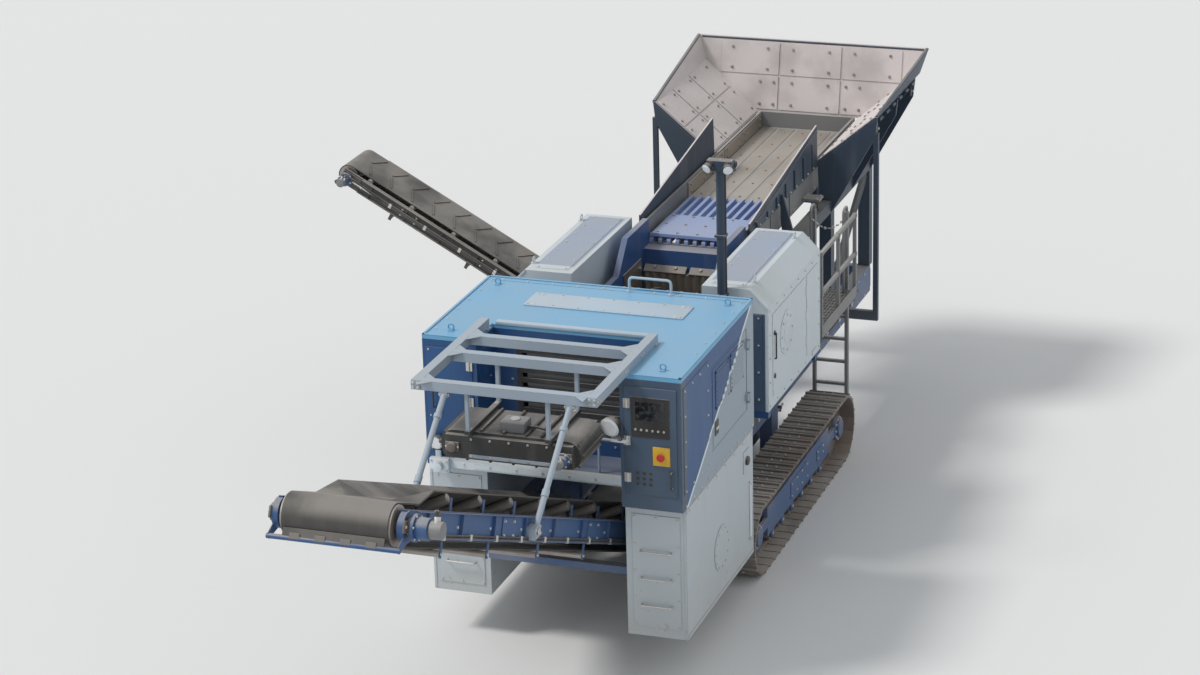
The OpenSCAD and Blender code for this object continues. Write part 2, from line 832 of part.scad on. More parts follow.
module overband_magnet() {
  zc = magnet_z1 - 200;
  y0 = frame_y0 + 90;
  y1 = bay_y[1];
  color(dark) placed() {
    difference() {
      translate([0, y1 - 60, 0]) rotate([90, 0, 0]) linear_extrude(y1 - y0 - 120) {
        for (x = [-620, 570]) translate([x, zc]) circle(150);
        translate([-620, zc - 150]) square([1190, 300]);
      }
      translate([0, y1 - 20, 0]) rotate([90, 0, 0]) linear_extrude(y1 - y0 - 40) {
        for (x = [-620, 570]) translate([x, zc]) circle(40);
      }
    }
    for (y = [y0, y1 - 60]) span([-700, y, zc - 120], [650, y + 60, zc + 120]);
    for (y = [y0, y1 - 60], x = [-450, 400]) span([x, y, zc + 120], [x + 40, y + 60, magnet_z1 - 40]);
    for (x = [-460, 390]) span([x, y0 - 70, magnet_z1 - 40], [x + 60, y1 + 70, magnet_z1]);
  }
}

module light_mast() {
  color(navy) placed() {
    translate([mast_x, mast_y, guard_z0 + 300]) cylinder(r = 50, h = mast_z - guard_z0 - 300);
    for (z = [guard_z0 + 400, guard_z1 - 200]) span([mast_x - 90, mast_y - 60, z], [mast_x + 90, guard_y0, z + 60]);
    span([mast_x - 140, mast_y - 60, mast_z], [mast_x + 140, mast_y + 60, mast_z + 110]);
  }
}

module service_platform() {
  x1 = hw - 20;
  y0 = post_y[0];
  y1 = track_len / 2 + track_r + 25;
  z = stand_z + 40;
  color(grey) placed() {
    span([rail_out, y0, stand_z], [x1, y1, z]);
    for (y = [y0 + 160, y1 - 60]) {
      span([rail_out, y, rail_z1 - 100], [rail_out + 60, y + 60, stand_z]);
      translate([0, y + 60, 0]) rotate([90, 0, 0]) linear_extrude(60)
        polygon([[rail_out + 60, stand_z - 460], [x1 - 40, stand_z], [rail_out + 60, stand_z]]);
    }
    for (y = [y0, (y0 + y1) / 2 - 20, y1 - 40]) span([x1 - 40, y, z], [x1, y + 40, z + rail_h]);
    for (h = [rail_h / 2 - 20, rail_h - 40]) span([x1 - 40, y0, z + h], [x1, y1, z + h + 40]);
    span([x1 - 12, y0, z], [x1, y1, z + 100]);
    // ladder at the rear end
    for (x = [x1 - 550, x1 - 150]) span([x, y1, 420], [x + 40, y1 + 60, z + rail_h]);
    for (h = [500 : 290 : stand_z - 60]) span([x1 - 510, y1 + 15, h], [x1 - 150, y1 + 45, h + 30]);
  }
}

main_frame();
left_track_frame();
right_track_frame();
left_track_wheels();
right_track_wheels();
left_track_chain();
right_track_chain();
crusher_body();
fixed_jaw_plate();
swing_jaw();
swing_jaw_plate();
toggle_plate();
eccentric_shaft();
left_flywheel();
right_flywheel();
left_flywheel_guard();
right_flywheel_guard();
feeder_trough();
grizzly_bars();
feeder_springs();
feeder_drive();
hopper_left_wall();
hopper_right_wall();
hopper_rear_wall();
hopper_supports();
fines_chute();
side_conveyor_frame();
side_conveyor_belt();
side_conveyor_rollers();
main_conveyor_frame();
main_conveyor_belt();
main_conveyor_rollers();
power_pack_body();
power_pack_roof();
power_pack_door();
radiator_grille();
engine_block();
conveyor_stays();
left_tank();
right_tank();
front_beam();
magnet_frame();
overband_magnet();
light_mast();
service_platform();
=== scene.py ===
"""Tracked mobile jaw crusher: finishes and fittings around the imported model, and its studio."""

import math

import bpy
from mathutils import Matrix, Vector


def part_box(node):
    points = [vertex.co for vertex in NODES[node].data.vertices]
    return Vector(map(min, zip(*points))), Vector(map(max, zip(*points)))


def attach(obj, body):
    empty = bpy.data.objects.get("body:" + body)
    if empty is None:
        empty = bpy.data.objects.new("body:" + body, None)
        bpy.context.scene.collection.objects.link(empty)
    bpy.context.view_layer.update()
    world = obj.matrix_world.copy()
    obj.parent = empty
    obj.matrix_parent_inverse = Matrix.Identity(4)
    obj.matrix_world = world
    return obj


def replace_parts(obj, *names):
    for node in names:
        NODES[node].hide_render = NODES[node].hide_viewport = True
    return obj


bl_info = {
    "name": "Tracked jaw crusher",
    "version": (1, 0, 0),
    "blender": (4, 5, 0),
    "location": "View3D > Sidebar > Crusher",
    "description": "Dresses the crusher's frame with paint, fasteners and fittings",
    "category": "Add Mesh",
}

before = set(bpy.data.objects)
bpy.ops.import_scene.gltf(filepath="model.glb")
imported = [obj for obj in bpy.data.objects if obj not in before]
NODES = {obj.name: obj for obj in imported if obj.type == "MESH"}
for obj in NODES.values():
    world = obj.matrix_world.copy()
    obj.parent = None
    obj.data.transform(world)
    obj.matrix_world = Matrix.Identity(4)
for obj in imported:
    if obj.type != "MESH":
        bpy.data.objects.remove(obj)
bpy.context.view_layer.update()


def middle_of_tracks():
    """The point on the ground that the machine's own measures start from."""
    low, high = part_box("left_track_chain")[0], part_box("right_track_chain")[1]
    return Vector(((low[0] + high[0]) / 2, (low[1] + high[1]) / 2, 0))


ORIGIN = middle_of_tracks()
HOME, AWAY = Matrix.Translation(ORIGIN), Matrix.Translation(-ORIGIN)
BOTH = (-1, 1)
UP, AHEAD, REAR = (0, 0, 1), (0, -1, 0), (0, 1, 0)

# where the photograph was taken from, its lens in millimetres, and how the camera is turned, in degrees
CAMERA_PLACE, CAMERA_LENS = (10.83, -33.07, 14.75), 96.5
CAMERA_TURN, CAMERA_DIP, CAMERA_ROLL = 19.72, 20.02, -1.53
SUN_RAYS = (0.62, 0.34, -0.95)


def at(x, y, z):
    """A point of the machine, in metres from the ground under the middle of its tracks."""
    return ORIGIN + Vector((x, y, z))


def node_box(name):
    """A node's lowest and highest corner in the machine's own measures."""
    low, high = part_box(name)
    return Vector(low) - ORIGIN, Vector(high) - ORIGIN


PACK_FRONT = node_box("power_pack_roof")[0].y
PACK_SIDE, PACK_REAR, ROOF_TOP = node_box("power_pack_roof")[1]


# Shader maths


def operation(kind, swapped=False):
    """A method that works on a reading and another value through a Math node."""
    def method(self, other):
        return self.worked(kind, *((other, self) if swapped else (self, other)))
    return method


class Reading:
    """A number from a shader node, written in sums like a number of Python."""

    __add__, __radd__ = operation("ADD"), operation("ADD", True)
    __sub__, __rsub__ = operation("SUBTRACT"), operation("SUBTRACT", True)
    __mul__, __rmul__ = operation("MULTIPLY"), operation("MULTIPLY", True)
    __truediv__, __rtruediv__ = operation("DIVIDE"), operation("DIVIDE", True)
    or_more = operation("MAXIMUM")

    def __init__(self, finish, socket):
        self.finish, self.socket = finish, socket

    def worked(self, kind, *values, clamp=False):
        settings = {"operation": kind, "use_clamp": clamp}
        return self.finish.node("ShaderNodeMath", settings, dict(enumerate(values)))

    def __abs__(self):
        return self.worked("ABSOLUTE", self)

    def wave(self, pitch):
        """0 to 1 and back, once in each pitch."""
        return self.worked("PINGPONG", self, pitch / 2) * (2 / pitch)

    def kept(self):
        """The value held between 0 and 1."""
        return self.worked("ADD", self, 0.0, clamp=True)

    def rise(self, low, high):
        """0 below low, 1 above high, and a smooth rise between them."""
        return self.finish.node("ShaderNodeMapRange", {"interpolation_type": "SMOOTHSTEP"},
                                {"Value": self, "From Min": low, "From Max": high})


class Finish:
    """One procedural material, built from readings of place, direction and grain."""

    def __init__(self, name):
        self.material = bpy.data.materials.new(name)
        self.material.use_nodes = True
        self.tree = self.material.node_tree
        self.shader = self.tree.nodes["Principled BSDF"]
        self.place = self.node("ShaderNodeTexCoord", out="Object")
        where = self.node("ShaderNodeVectorMath", {"operation": "SUBTRACT"},
                          {0: self.place, 1: tuple(ORIGIN)})
        self.x, self.y, self.z = self.parts_of(where)
        self.normal = self.node("ShaderNodeNewGeometry", out="Normal")
        self.up = self.parts_of(self.normal)[2]
        FINISHES[name] = self.material

    def node(self, kind, settings=None, inputs=None, out=0):
        """Any node: its settings first, then the values or links of its sockets."""
        made = self.tree.nodes.new(kind)
        for key, value in (settings or {}).items():
            setattr(made, key, value)
        for key, value in (inputs or {}).items():
            self.set(made.inputs[key], value)
        return Reading(self, made.outputs[out])

    def set(self, socket, value):
        """Sets or links one socket."""
        if isinstance(value, Reading):
            self.tree.links.new(value.socket, socket)
        else:
            socket.default_value = value

    def put(self, **values):
        """Sets or links sockets of the shader; an underscore stands for a space."""
        for name, value in values.items():
            self.set(self.shader.inputs[name.replace("_", " ")], value)

    def parts_of(self, vector):
        """The three numbers of a vector."""
        outs = self.node("ShaderNodeSeparateXYZ", None, {0: vector}).socket.node.outputs
        return [Reading(self, outs[i]) for i in range(3)]

    def grain(self, size, detail=2.0, stretch=(1, 1, 1)):
        """Noise with lumps of about that size in metres, drawn out along the axes by stretch."""
        scale = tuple(1 / s for s in stretch)
        place = self.node("ShaderNodeMapping", None, {"Vector": self.place, "Scale": scale})
        inputs = {"Vector": place, "Scale": 0.5 / size, "Detail": detail}
        return self.node("ShaderNodeTexNoise", None, inputs)

    def mixed(self, amount, first, second):
        """A colour between two colours."""
        return self.node("ShaderNodeMix", {"data_type": "RGBA"}, {0: amount, 6: first, 7: second}, out=2)

    def rounding(self, reach):
        """The direction of the surface, smoothed over edges within reach."""
        return self.node("ShaderNodeBevel", {"samples": 4}, {"Radius": reach})

    def corners(self, reach):
        """1 on edges and in corners within reach of one, and 0 on open faces."""
        same = self.node("ShaderNodeVectorMath", {"operation": "DOT_PRODUCT"},
                         {0: self.rounding(reach), 1: self.normal}, out=1)
        return (1 - same).rise(0.02, 0.22)

    def bump(self, height, depth, softened=0.0):
        """Links the height to the shader's normal, over edges that are rounded by softened."""
        inputs = {"Height": height, "Distance": depth, "Strength": 1.0}
        if softened:
            inputs["Normal"] = self.rounding(softened)
        self.put(Normal=self.node("ShaderNodeBump", None, inputs))


def tint(colour, by=1.0):
    """A colour property as the four numbers of a shader, made lighter or darker."""
    return tuple(min(1.0, c * by) for c in colour[:3]) + (1.0,)


# The finishes

FINISHES = {}


def dust_over(finish, amount, top=1.0):
    """How much quarry dust lies on a surface: most where it is level or low down, in streaks elsewhere."""
    drift = finish.grain(0.55, 4.0)
    runs = finish.grain(0.12, 3.0, (1, 1, 9))
    level = finish.up.rise(0.25, 0.85) * (0.35 + 0.65 * drift.rise(0.32, 0.62)) * top
    low = (1 - finish.z.rise(0.3, 2.0)) * (0.12 + 0.6 * drift.rise(0.35, 0.65))
    film = 0.02 + 0.13 * runs.rise(0.50, 0.74) + 0.05 * drift
    return (level.or_more(low * 0.75).or_more(film) * amount).kept()


def painted(name, colour, rough=0.42, dust=0.7, chips=0.6, top=1.0, powder=None):
    """Sprayed steel plate: faded paint, dust, scratches to the metal along edges, rust in the chips."""
    looks = bpy.context.scene.crusher_looks
    finish = Finish(name)
    paint = colour(finish) if callable(colour) else tint(colour)
    fade, speck, fine = finish.grain(1.3, 3.0), finish.grain(0.018, 4.0), finish.grain(0.006, 2.0)
    faded = finish.mixed(fade.rise(0.3, 0.7), paint, finish.mixed(0.035, paint, (0.62, 0.66, 0.70, 1)))
    chip = finish.corners(0.012) * (speck + 0.5 * fade).rise(0.62, 0.80) * chips
    spots = (finish.grain(0.045, 5.0) - 0.16 * finish.z.rise(0.5, 3.0)).rise(0.66, 0.70) * chips * 0.6
    worn = chip.or_more(spots).kept()
    dirt = dust_over(finish, dust * looks.dust, top)
    powder = powder or looks.dust_colour
    grit = finish.mixed(fine.rise(0.3, 0.7), tint(powder, 0.86), tint(powder, 1.1))
    metal = finish.mixed(fade, (0.13, 0.085, 0.06, 1), (0.30, 0.29, 0.28, 1))
    finish.put(
        Base_Color=finish.mixed(dirt, finish.mixed(worn, faded, metal), grit),
        Roughness=(rough + 0.12 * fade + 0.45 * dirt + 0.2 * worn).kept(),
        Metallic=0.0, Specular_IOR_Level=0.35,
        Coat_Weight=(0.14 - 0.14 * dirt).kept(), Coat_Roughness=0.3)
    finish.bump(0.3 * speck + dirt * fine * 0.8 - worn * 0.5, 0.0012, 0.004)


def bare(name, colour, rough=0.45, metal=0.9, dust=0.5, rust=0.35):
    """Unpainted steel: polish and rust in patches, under dust."""
    looks = bpy.context.scene.crusher_looks
    finish = Finish(name)
    patch, pores = finish.grain(0.22, 5.0), finish.grain(0.01, 3.0)
    rusty = (patch + 0.25 * pores).rise(0.55, 0.78) * rust
    dirt = dust_over(finish, dust * looks.dust)
    steel = finish.mixed(pores, tint(colour, 0.8), tint(colour, 1.15))
    brown = finish.mixed(pores, (0.10, 0.045, 0.022, 1), (0.24, 0.12, 0.06, 1))
    finish.put(
        Base_Color=finish.mixed(dirt, finish.mixed(rusty, steel, brown), tint(looks.dust_colour, 0.95)),
        Metallic=(metal * (1 - rusty) * (1 - dirt)).kept(),
        Roughness=(rough + 0.1 * pores + 0.4 * dirt + 0.3 * rusty).kept())
    finish.bump(pores + 0.6 * patch, 0.0015, 0.003)


def pack_colours_and_shade(finish):
    """The power pack's blue, with the pale lower part of its right side under a slanting edge, greyed as
    painted shade, and dark slate on its front column that is partly painted shade.
    """
    looks = bpy.context.scene.crusher_looks
    side = finish.x.rise(1.47, 1.49)
    above = finish.z - 2.3 - 0.62 * (finish.y + 4.0)
    pale = side * (1 - above.rise(-0.012, 0.012))
    line = side * (1 - abs(above).rise(0.018, 0.03))
    # dark slate on the front column: the cabinet's colour, and partly painted shade of its front face
    slate_front_and_shade = finish.x.rise(0.84, 0.86) * (1 - finish.y.rise(-4.56, -4.52))
    blue = finish.mixed(slate_front_and_shade, tint(looks.deep_blue), tint(looks.slate))
    # the pale part is grey instead of white: two-tone paint, darkened as painted shade
    skirted = finish.mixed(pale, blue, tint(looks.frame_grey, 0.88))
    return finish.mixed(line, skirted, tint(looks.panel_white))


def guard_colours_and_painted_light(finish):
    """White guards with a blue-grey anti-slip field on the top, a white strip at its front that is a painted
    highlight, and painted shade in dark slate on the front faces.
    """
    looks = bpy.context.scene.crusher_looks
    across = abs(finish.x)
    field = finish.z.rise(3.27, 3.29) * (1 - across.rise(1.23, 1.25)) * across.rise(0.79, 0.81)
    # the field stops short of the front: the white strip left there is a painted highlight of a sunlit bevel
    field = field * finish.y.rise(-1.43, -1.41) * (1 - finish.y.rise(0.36, 0.38))
    # painted shade: dark slate on the guards' front faces, which are turned from the sun
    front = (1 - finish.y.rise(-1.62, -1.61)) * (1 - finish.z.rise(3.02, 3.04))
    front = front * (1 - across.rise(1.46, 1.47))
    top = finish.mixed(field, tint(looks.panel_white, 0.84), tint(looks.field_grey))
    return finish.mixed(front, top, tint(looks.slate))


def hopper_colours(finish):
    """Navy outer faces; inside, the plates are scoured and covered with stone dust."""
    scour = finish.grain(0.30, 5.0, (1, 3, 1)).rise(0.35, 0.65)
    worn = finish.mixed(scour, (0.54, 0.495, 0.48, 1), (0.74, 0.68, 0.665, 1))
    return finish.mixed(finish.up.rise(0.05, 0.2), tint(bpy.context.scene.crusher_looks.navy), worn)


def make_finishes():
    """Every paint, metal and rubber of the machine, by name."""
    looks = bpy.context.scene.crusher_looks
    painted("roof_paint", looks.sky_blue, rough=0.4, dust=0.24, chips=0.3)
    painted("pack_paint_and_shade", pack_colours_and_shade, dust=0.4)
    painted("guard_paint_and_painted_light", guard_colours_and_painted_light, dust=0.35, chips=0.5)
    painted("white_paint", looks.panel_white, dust=0.75, chips=0.5)
    painted("blue_paint", looks.deep_blue, dust=0.8)
    # violet on the grizzly bars and their plate: painted reflection of the sky on bare steel
    painted("violet_sky_reflection", looks.violet, dust=0.35)
    painted("navy_paint", looks.navy, rough=0.5, dust=0.6)
    painted("crusher_blue", (0.012, 0.070, 0.225), rough=0.45, dust=0.6)
    # the tanks' white is darkened to 0.74 as painted shade
    painted("tank_white_and_shade", tint(looks.panel_white, 0.74), dust=0.8)
    painted("hopper_paint", hopper_colours, rough=0.55, dust=0.5, chips=0.3, top=1.7,
            powder=(0.72, 0.66, 0.64))
    painted("frame_grey", looks.frame_grey, dust=0.45, chips=0.8, top=0.6)
    painted("machine_grey", looks.machine_grey, rough=0.5)
    painted("black_paint", (0.02, 0.02, 0.022), rough=0.45, dust=0.55)
    bare("jaw_steel", (0.42, 0.39, 0.35), rough=0.32, dust=0.45, rust=0.25)
    bare("cast_iron", (0.20, 0.19, 0.18), rough=0.6, metal=0.6, dust=0.6)
    bare("roller_steel", (0.36, 0.34, 0.32), rough=0.4, dust=0.6)
    bare("track_steel", (0.17, 0.15, 0.135), rough=0.55, metal=0.7, dust=0.95, rust=0.5)
    bare("zinc", (0.62, 0.62, 0.60), rough=0.35, dust=0.35, rust=0.15)
    painted("side_paint", (0.055, 0.052, 0.048), rough=0.5, dust=0.8)
    painted("hatch_paint", tuple(0.45 * c + 0.36 for c in looks.sky_blue), dust=0.3, chips=0.3)
    painted("cabinet_paint", looks.slate, dust=0.5, chips=0.3)
    painted("sign_yellow", (0.70, 0.42, 0.03), dust=0.3, chips=0.3)
    painted("stop_red", (0.55, 0.02, 0.015), rough=0.3, dust=0.15, chips=0.0)
    lamp_glass()
    cabinet_screen()
    belt_rubber()


def lamp_glass():
    """Fluted lamp glass over a bright reflector."""
    finish = Finish("lamp_glass")
    flutes = finish.x.wave(0.012)
    finish.put(Base_Color=finish.mixed(flutes, (0.78, 0.80, 0.82, 1), (0.95, 0.96, 0.97, 1)),
               Roughness=(0.08 + 0.15 * finish.grain(0.01)).kept(), Metallic=0.0, Coat_Weight=1.0)
    finish.bump(flutes, 0.001)


def cabinet_screen():
    """The cabinet's dark display, switched off."""
    finish = Finish("screen")
    film = finish.grain(0.03, 4.0).rise(0.4, 0.7)
    finish.put(Base_Color=finish.mixed(film * 0.3, (0.008, 0.012, 0.016, 1), (0.12, 0.12, 0.115, 1)),
               Roughness=(0.08 + 0.35 * film).kept())


def belt_rubber():
    """Belt rubber, grey with stone dust along the carrying strip."""
    finish = Finish("rubber")
    ribs, fine = finish.grain(0.05, 3.0, (1, 6, 6)), finish.grain(0.008, 2.0)
    carried = finish.up.rise(0.2, 0.8) * finish.grain(0.35, 4.0).rise(0.3, 0.62)
    dirt = (carried * 0.5 + 0.12 * ribs).kept()
    dust = tint(bpy.context.scene.crusher_looks.dust_colour, 0.85)
    finish.put(Base_Color=finish.mixed(dirt, (0.042, 0.040, 0.038, 1), dust),
               Roughness=(0.62 + 0.3 * dirt).kept())
    finish.bump(ribs + fine, 0.002)


CAD_FINISHES = {
    "roof_paint": "power_pack_roof",
    "pack_paint_and_shade": "power_pack_body power_pack_door",
    "guard_paint_and_painted_light": "left_flywheel_guard right_flywheel_guard",
    "white_paint": "front_beam",
    "tank_white_and_shade": "left_tank right_tank",
    "blue_paint": "main_frame left_track_frame right_track_frame swing_jaw feeder_drive main_conveyor_frame",
    "navy_paint": "light_mast hopper_supports",
    "crusher_blue": "crusher_body",
    "violet_sky_reflection": "grizzly_bars",
    "hopper_paint": "hopper_left_wall hopper_right_wall hopper_rear_wall",
    "frame_grey": "magnet_frame conveyor_stays",
    "machine_grey": "feeder_trough fines_chute service_platform engine_block",
    "black_paint": "radiator_grille overband_magnet",
    "side_paint": "side_conveyor_frame",
    "jaw_steel": "fixed_jaw_plate swing_jaw_plate",
    "cast_iron": "left_flywheel right_flywheel toggle_plate",
    "roller_steel": "left_track_wheels right_track_wheels side_conveyor_rollers main_conveyor_rollers "
                    "eccentric_shaft feeder_springs",
    "track_steel": "left_track_chain right_track_chain",
    "rubber": "side_conveyor_belt main_conveyor_belt",
}


# Modelling


def hold(*things):
    """Selects these things alone and makes the first one active, so that the next operator acts on them."""
    for thing in bpy.context.selected_objects:
        thing.select_set(False)
    for thing in things:
        thing.select_set(True)
    if things:
        bpy.context.view_layer.objects.active = things[0]


def coat(thing, finish):
    """Gives a part its finish, which it keeps when it is joined to others."""
    thing.data.materials.clear()
    thing.data.materials.append(FINISHES[finish])
    return thing


def placed(add, point, scale=None, **settings):
    """A primitive at a point of the machine, with its place, turn and scale moved into its mesh."""
    hold()
    add(location=ORIGIN + Vector(point), **settings)
    made = bpy.context.object
    if scale:
        made.scale = scale
    hold(made)
    bpy.ops.object.transform_apply(location=True, rotation=True, scale=True)
    return made


def soften(thing, width, steps=1):
    """Rounds off the sharp edges."""
    hold(thing)
    bevel = thing.modifiers.new("edge", "BEVEL")
    bevel.width, bevel.segments = width, steps
    bevel.limit_method, bevel.angle_limit = "ANGLE", math.radians(40)
    bpy.ops.object.modifier_apply(modifier=bevel.name)


def block(one, other, finish, edge=0.003, steps=1):
    """A box between two corners, with its edges rounded off."""
    low, high = Vector(map(min, one, other)), Vector(map(max, one, other))
    made = placed(bpy.ops.mesh.primitive_cube_add, (low + high) / 2, high - low, size=1)
    if edge:
        soften(made, min(edge, 0.4 * min(high - low)), steps)
    return coat(made, finish)


def blocks(finish, *rows, edge=0.003):
    """Boxes of one finish, each row its two corners."""
    return [block(row[:3], row[3:], finish, edge) for row in rows]


def drum(start, end, radius, finish, sides=24, edge=0.002, steps=1):
    """A cylinder between two points, with its rims rounded off."""
    start, along = Vector(start), Vector(end) - Vector(start)
    made = placed(bpy.ops.mesh.primitive_cylinder_add, start + along / 2, vertices=sides, radius=radius,
                  depth=along.length, rotation=along.to_track_quat("Z", "Y").to_euler())
    if edge:
        soften(made, edge, steps)
    return coat(made, finish)


def stub(foot, along, radius, finish, sides=24, edge=0.002, steps=1):
    """A cylinder that stands out from its foot."""
    return drum(foot, Vector(foot) + Vector(along), radius, finish, sides, edge, steps)


def ring(centre, axis, radius, thick, finish, sides=20, around=8):
    """A round ring, such as a lifting eye."""
    made = placed(bpy.ops.mesh.primitive_torus_add, centre, major_radius=radius, minor_radius=thick,
                  major_segments=sides, minor_segments=around,
                  rotation=Vector(axis).to_track_quat("Z", "Y").to_euler())
    return coat(made, finish)


def sheet_metal(outline, thick, finish, edge=0.002):
    """A flat plate of any outline: its corners in order, thickened to both sides."""
    made = placed(bpy.ops.mesh.primitive_circle_add, (0, 0, 0), vertices=len(outline), radius=1,
                  fill_type="NGON")
    for vertex, corner in zip(made.data.vertices, outline):
        vertex.co = ORIGIN + Vector(corner)
    solid = made.modifiers.new("plate", "SOLIDIFY")
    solid.thickness, solid.offset = thick, 0
    bpy.ops.object.modifier_apply(modifier=solid.name)
    if edge:
        soften(made, edge)
    return coat(made, finish)


def spread(axis, level, others):
    """A point from its level along one axis and its two other measures in order."""
    return (*others[:axis], level, *others[axis:])


def flat(axis, level, outline, thick, finish, edge=0.002):
    """Sheet metal square to an axis, its corners given in the two other measures."""
    return sheet_metal([spread(axis, level, corner) for corner in outline], thick, finish, edge)


def wire(path, radius, finish, sides):
    """Round bar or pipe along a path."""
    hold()
    bpy.ops.curve.primitive_nurbs_path_add(location=(0, 0, 0))
    made = bpy.context.object
    curve = made.data
    curve.splines.clear()
    spline = curve.splines.new("POLY")
    spline.points.add(len(path) - 1)
    for knot, point in zip(spline.points, path):
        knot.co = (*(ORIGIN + Vector(point)), 1)
    curve.bevel_depth, curve.bevel_resolution, curve.use_fill_caps = radius, sides, True
    hold(made)
    bpy.ops.object.convert(target="MESH")
    return coat(bpy.context.object, finish)


def pipe(points, radius, finish, bend=0.05, sides=2):
    """A round pipe or rail along a path with rounded bends."""
    points = [Vector(p) for p in points]
    path = [points[0]]
    for before, corner, after in zip(points, points[1:], points[2:]):
        back, ahead = before - corner, after - corner
        reach = min(bend, back.length * 0.45, ahead.length * 0.45)
        start, end = corner + back.normalized() * reach, corner + ahead.normalized() * reach
        path += [start * (1 - t) ** 2 + corner * 2 * t * (1 - t) + end * t ** 2
                 for t in (i / 5 for i in range(6))]
    return wire(path + [points[-1]], radius, finish, sides)


def moved(part, move):
    """A copy of a part with its own mesh, moved."""
    copy = part.copy()
    copy.data = part.data.copy()
    copy.data.transform(move)
    bpy.context.scene.collection.objects.link(copy)
    return copy


def joined(parts):
    """Several parts as one."""
    hold(*parts)
    if len(parts) > 1:
        bpy.ops.object.join()
    return bpy.context.object


def piece(name, parts, body="machine", smooth=35):
    """One named piece of the machine, joined, faced outwards and riding on its body."""
    made = joined(parts)
    made.name = name
    bpy.ops.object.mode_set(mode="EDIT")
    bpy.ops.mesh.select_all(action="SELECT")
    bpy.ops.mesh.normals_make_consistent(inside=False)
    bpy.ops.object.mode_set(mode="OBJECT")
    bpy.ops.object.shade_smooth_by_angle(angle=math.radians(smooth))
    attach(made, body)
    return made


def pair(name, parts):
    """A piece on the right side and its mirror image on the left; {} in the name stands for the side."""
    flip = HOME @ Matrix.Diagonal((-1, 1, 1, 1)) @ AWAY
    others = [moved(part, flip) for part in parts]
    for other in others:
        other.data.flip_normals()
    piece(name.format("right"), parts)
    piece(name.format("left"), others)


def bolts(places, size=0.016, finish="zinc"):
    """Hexagon heads on washers at places, each a point and the way it faces. The size is the thread."""
    washer = drum((0, 0, 0), (0, 0, 0.2 * size), 1.1 * size, finish, sides=16, edge=0)
    head = drum((0, 0, 0.2 * size), (0, 0, 0.9 * size), 0.92 * size, finish, sides=6, edge=0.08 * size)
    model = joined([washer, head])
    made = []
    for i, (point, direction) in enumerate(places):
        out = Vector(direction).to_track_quat("Z", "Y").to_matrix().to_4x4()
        turned = out @ Matrix.Rotation(0.4 * i, 4, "Z")
        made.append(moved(model, Matrix.Translation(ORIGIN + Vector(point)) @ turned @ AWAY))
    bpy.data.objects.remove(model)
    return made


def spaced(low, high, pitch):
    """Even steps from low to high, about a pitch apart."""
    count = max(1, round((high - low) / pitch))
    return [low + (high - low) * i / count for i in range(count + 1)]


def facing(direction, *measures):
    """Places on a grid that face one way; each of the three measures is a number or several."""
    xs, ys, zs = [m if isinstance(m, (tuple, list)) else (m,) for m in measures]
    return [((x, y, z), direction) for x in xs for y in ys for z in zs]


def circle(x, y, z, radius, count, way=1):
    """Places round a centre on a wall that faces along x."""
    turns = [2 * math.pi * k / count for k in range(count)]
    return [((x, y + radius * math.cos(a), z + radius * math.sin(a)), (way, 0, 0)) for a in turns]


def frame_bolts(one, other, axis, out, pitch, size=0.012):
    """Bolts round the border of a flat panel: two corners in the plane that faces along an axis."""
    (a0, b0), (a1, b1) = [[p[i] for i in range(3) if i != axis] for p in (one, other)]
    places = [(a, b) for a in spaced(a0, a1, pitch) for b in (b0, b1)]
    places += [(a, b) for b in spaced(b0, b1, pitch)[1:-1] for a in (a0, a1)]
    direction = spread(axis, out, (0, 0))
    return bolts([(spread(axis, one[axis], place), direction) for place in places], size)


def panel(axis, level, thick, one, other, finish, pitch, inset=(0.03, 0.03), size=0.012):
    """A thin plate on a wall, with bolts round its border."""
    face, (m, n) = level + thick, inset
    return [block(spread(axis, level, one), spread(axis, face, other), finish)] + frame_bolts(
        spread(axis, face, (one[0] + m, one[1] + n)), spread(axis, face, (other[0] - m, other[1] - n)), axis,
        math.copysign(1, thick), pitch, size)


def louvres(x, y0, y1, z0, z1, side, finish, pitch=0.05):
    """A framed bank of pressed louvres on a wall that faces along x, with painted shade behind its slats."""
    out, wide = x + side * 0.008, 0.03
    parts = blocks(finish, (x, y0, z0, out, y1, z0 + wide), (x, y0, z1 - wide, out, y1, z1),
                   (x, y0, z0, out, y0 + wide, z1), (x, y1 - wide, z0, out, y1, z1))
    y0, y1 = y0 + wide, y1 - wide
    # a black sheet behind the slats stands in for the dark opening: painted shade
    parts.append(block((x, y0, z0 + wide), (x + side * 0.002, y1, z1 - wide), "black_paint", edge=0))
    front, back = x + side * 0.016, x + side * 0.001
    for z in spaced(z0 + 0.06, z1 - 0.06, pitch):
        slat = [(front, y0, z - 0.02), (front, y1, z - 0.02), (back, y1, z + 0.014), (back, y0, z + 0.014)]
        parts.append(sheet_metal(slat, 0.003, finish, edge=0))
    return parts


def grip(start, end, out, finish, radius=0.009, reach=0.05):
    """A bent bar handle between two feet."""
    start, end, lift = Vector(start), Vector(end), Vector(out) * reach
    return pipe([start, start + lift, end + lift, end], radius, finish, bend=0.02)


def lifting_eye(point, finish, axis=(1, 0, 0)):
    """A lifting eye on its foot."""
    x, y, z = point
    return [block((x - 0.03, y - 0.03, z), (x + 0.03, y + 0.03, z + 0.012), finish),
            ring((x, y, z + 0.042), axis, 0.03, 0.008, finish)]


def hinge(point, length, out):
    """A butt hinge with its pin upright, on a wall that faces out."""
    point, out, half = Vector(point), Vector(out), Vector(UP) * (length / 2)
    low, high, side = point - half, point + half, Vector(UP).cross(out) * 0.035
    parts = [drum(low + out * 0.008, high + out * 0.008, 0.009, "zinc", sides=12)]
    for way in BOTH:
        parts.append(block(low + way * 0.15 * side, high + way * side + out * 0.005, "zinc", edge=0.001))
    return parts


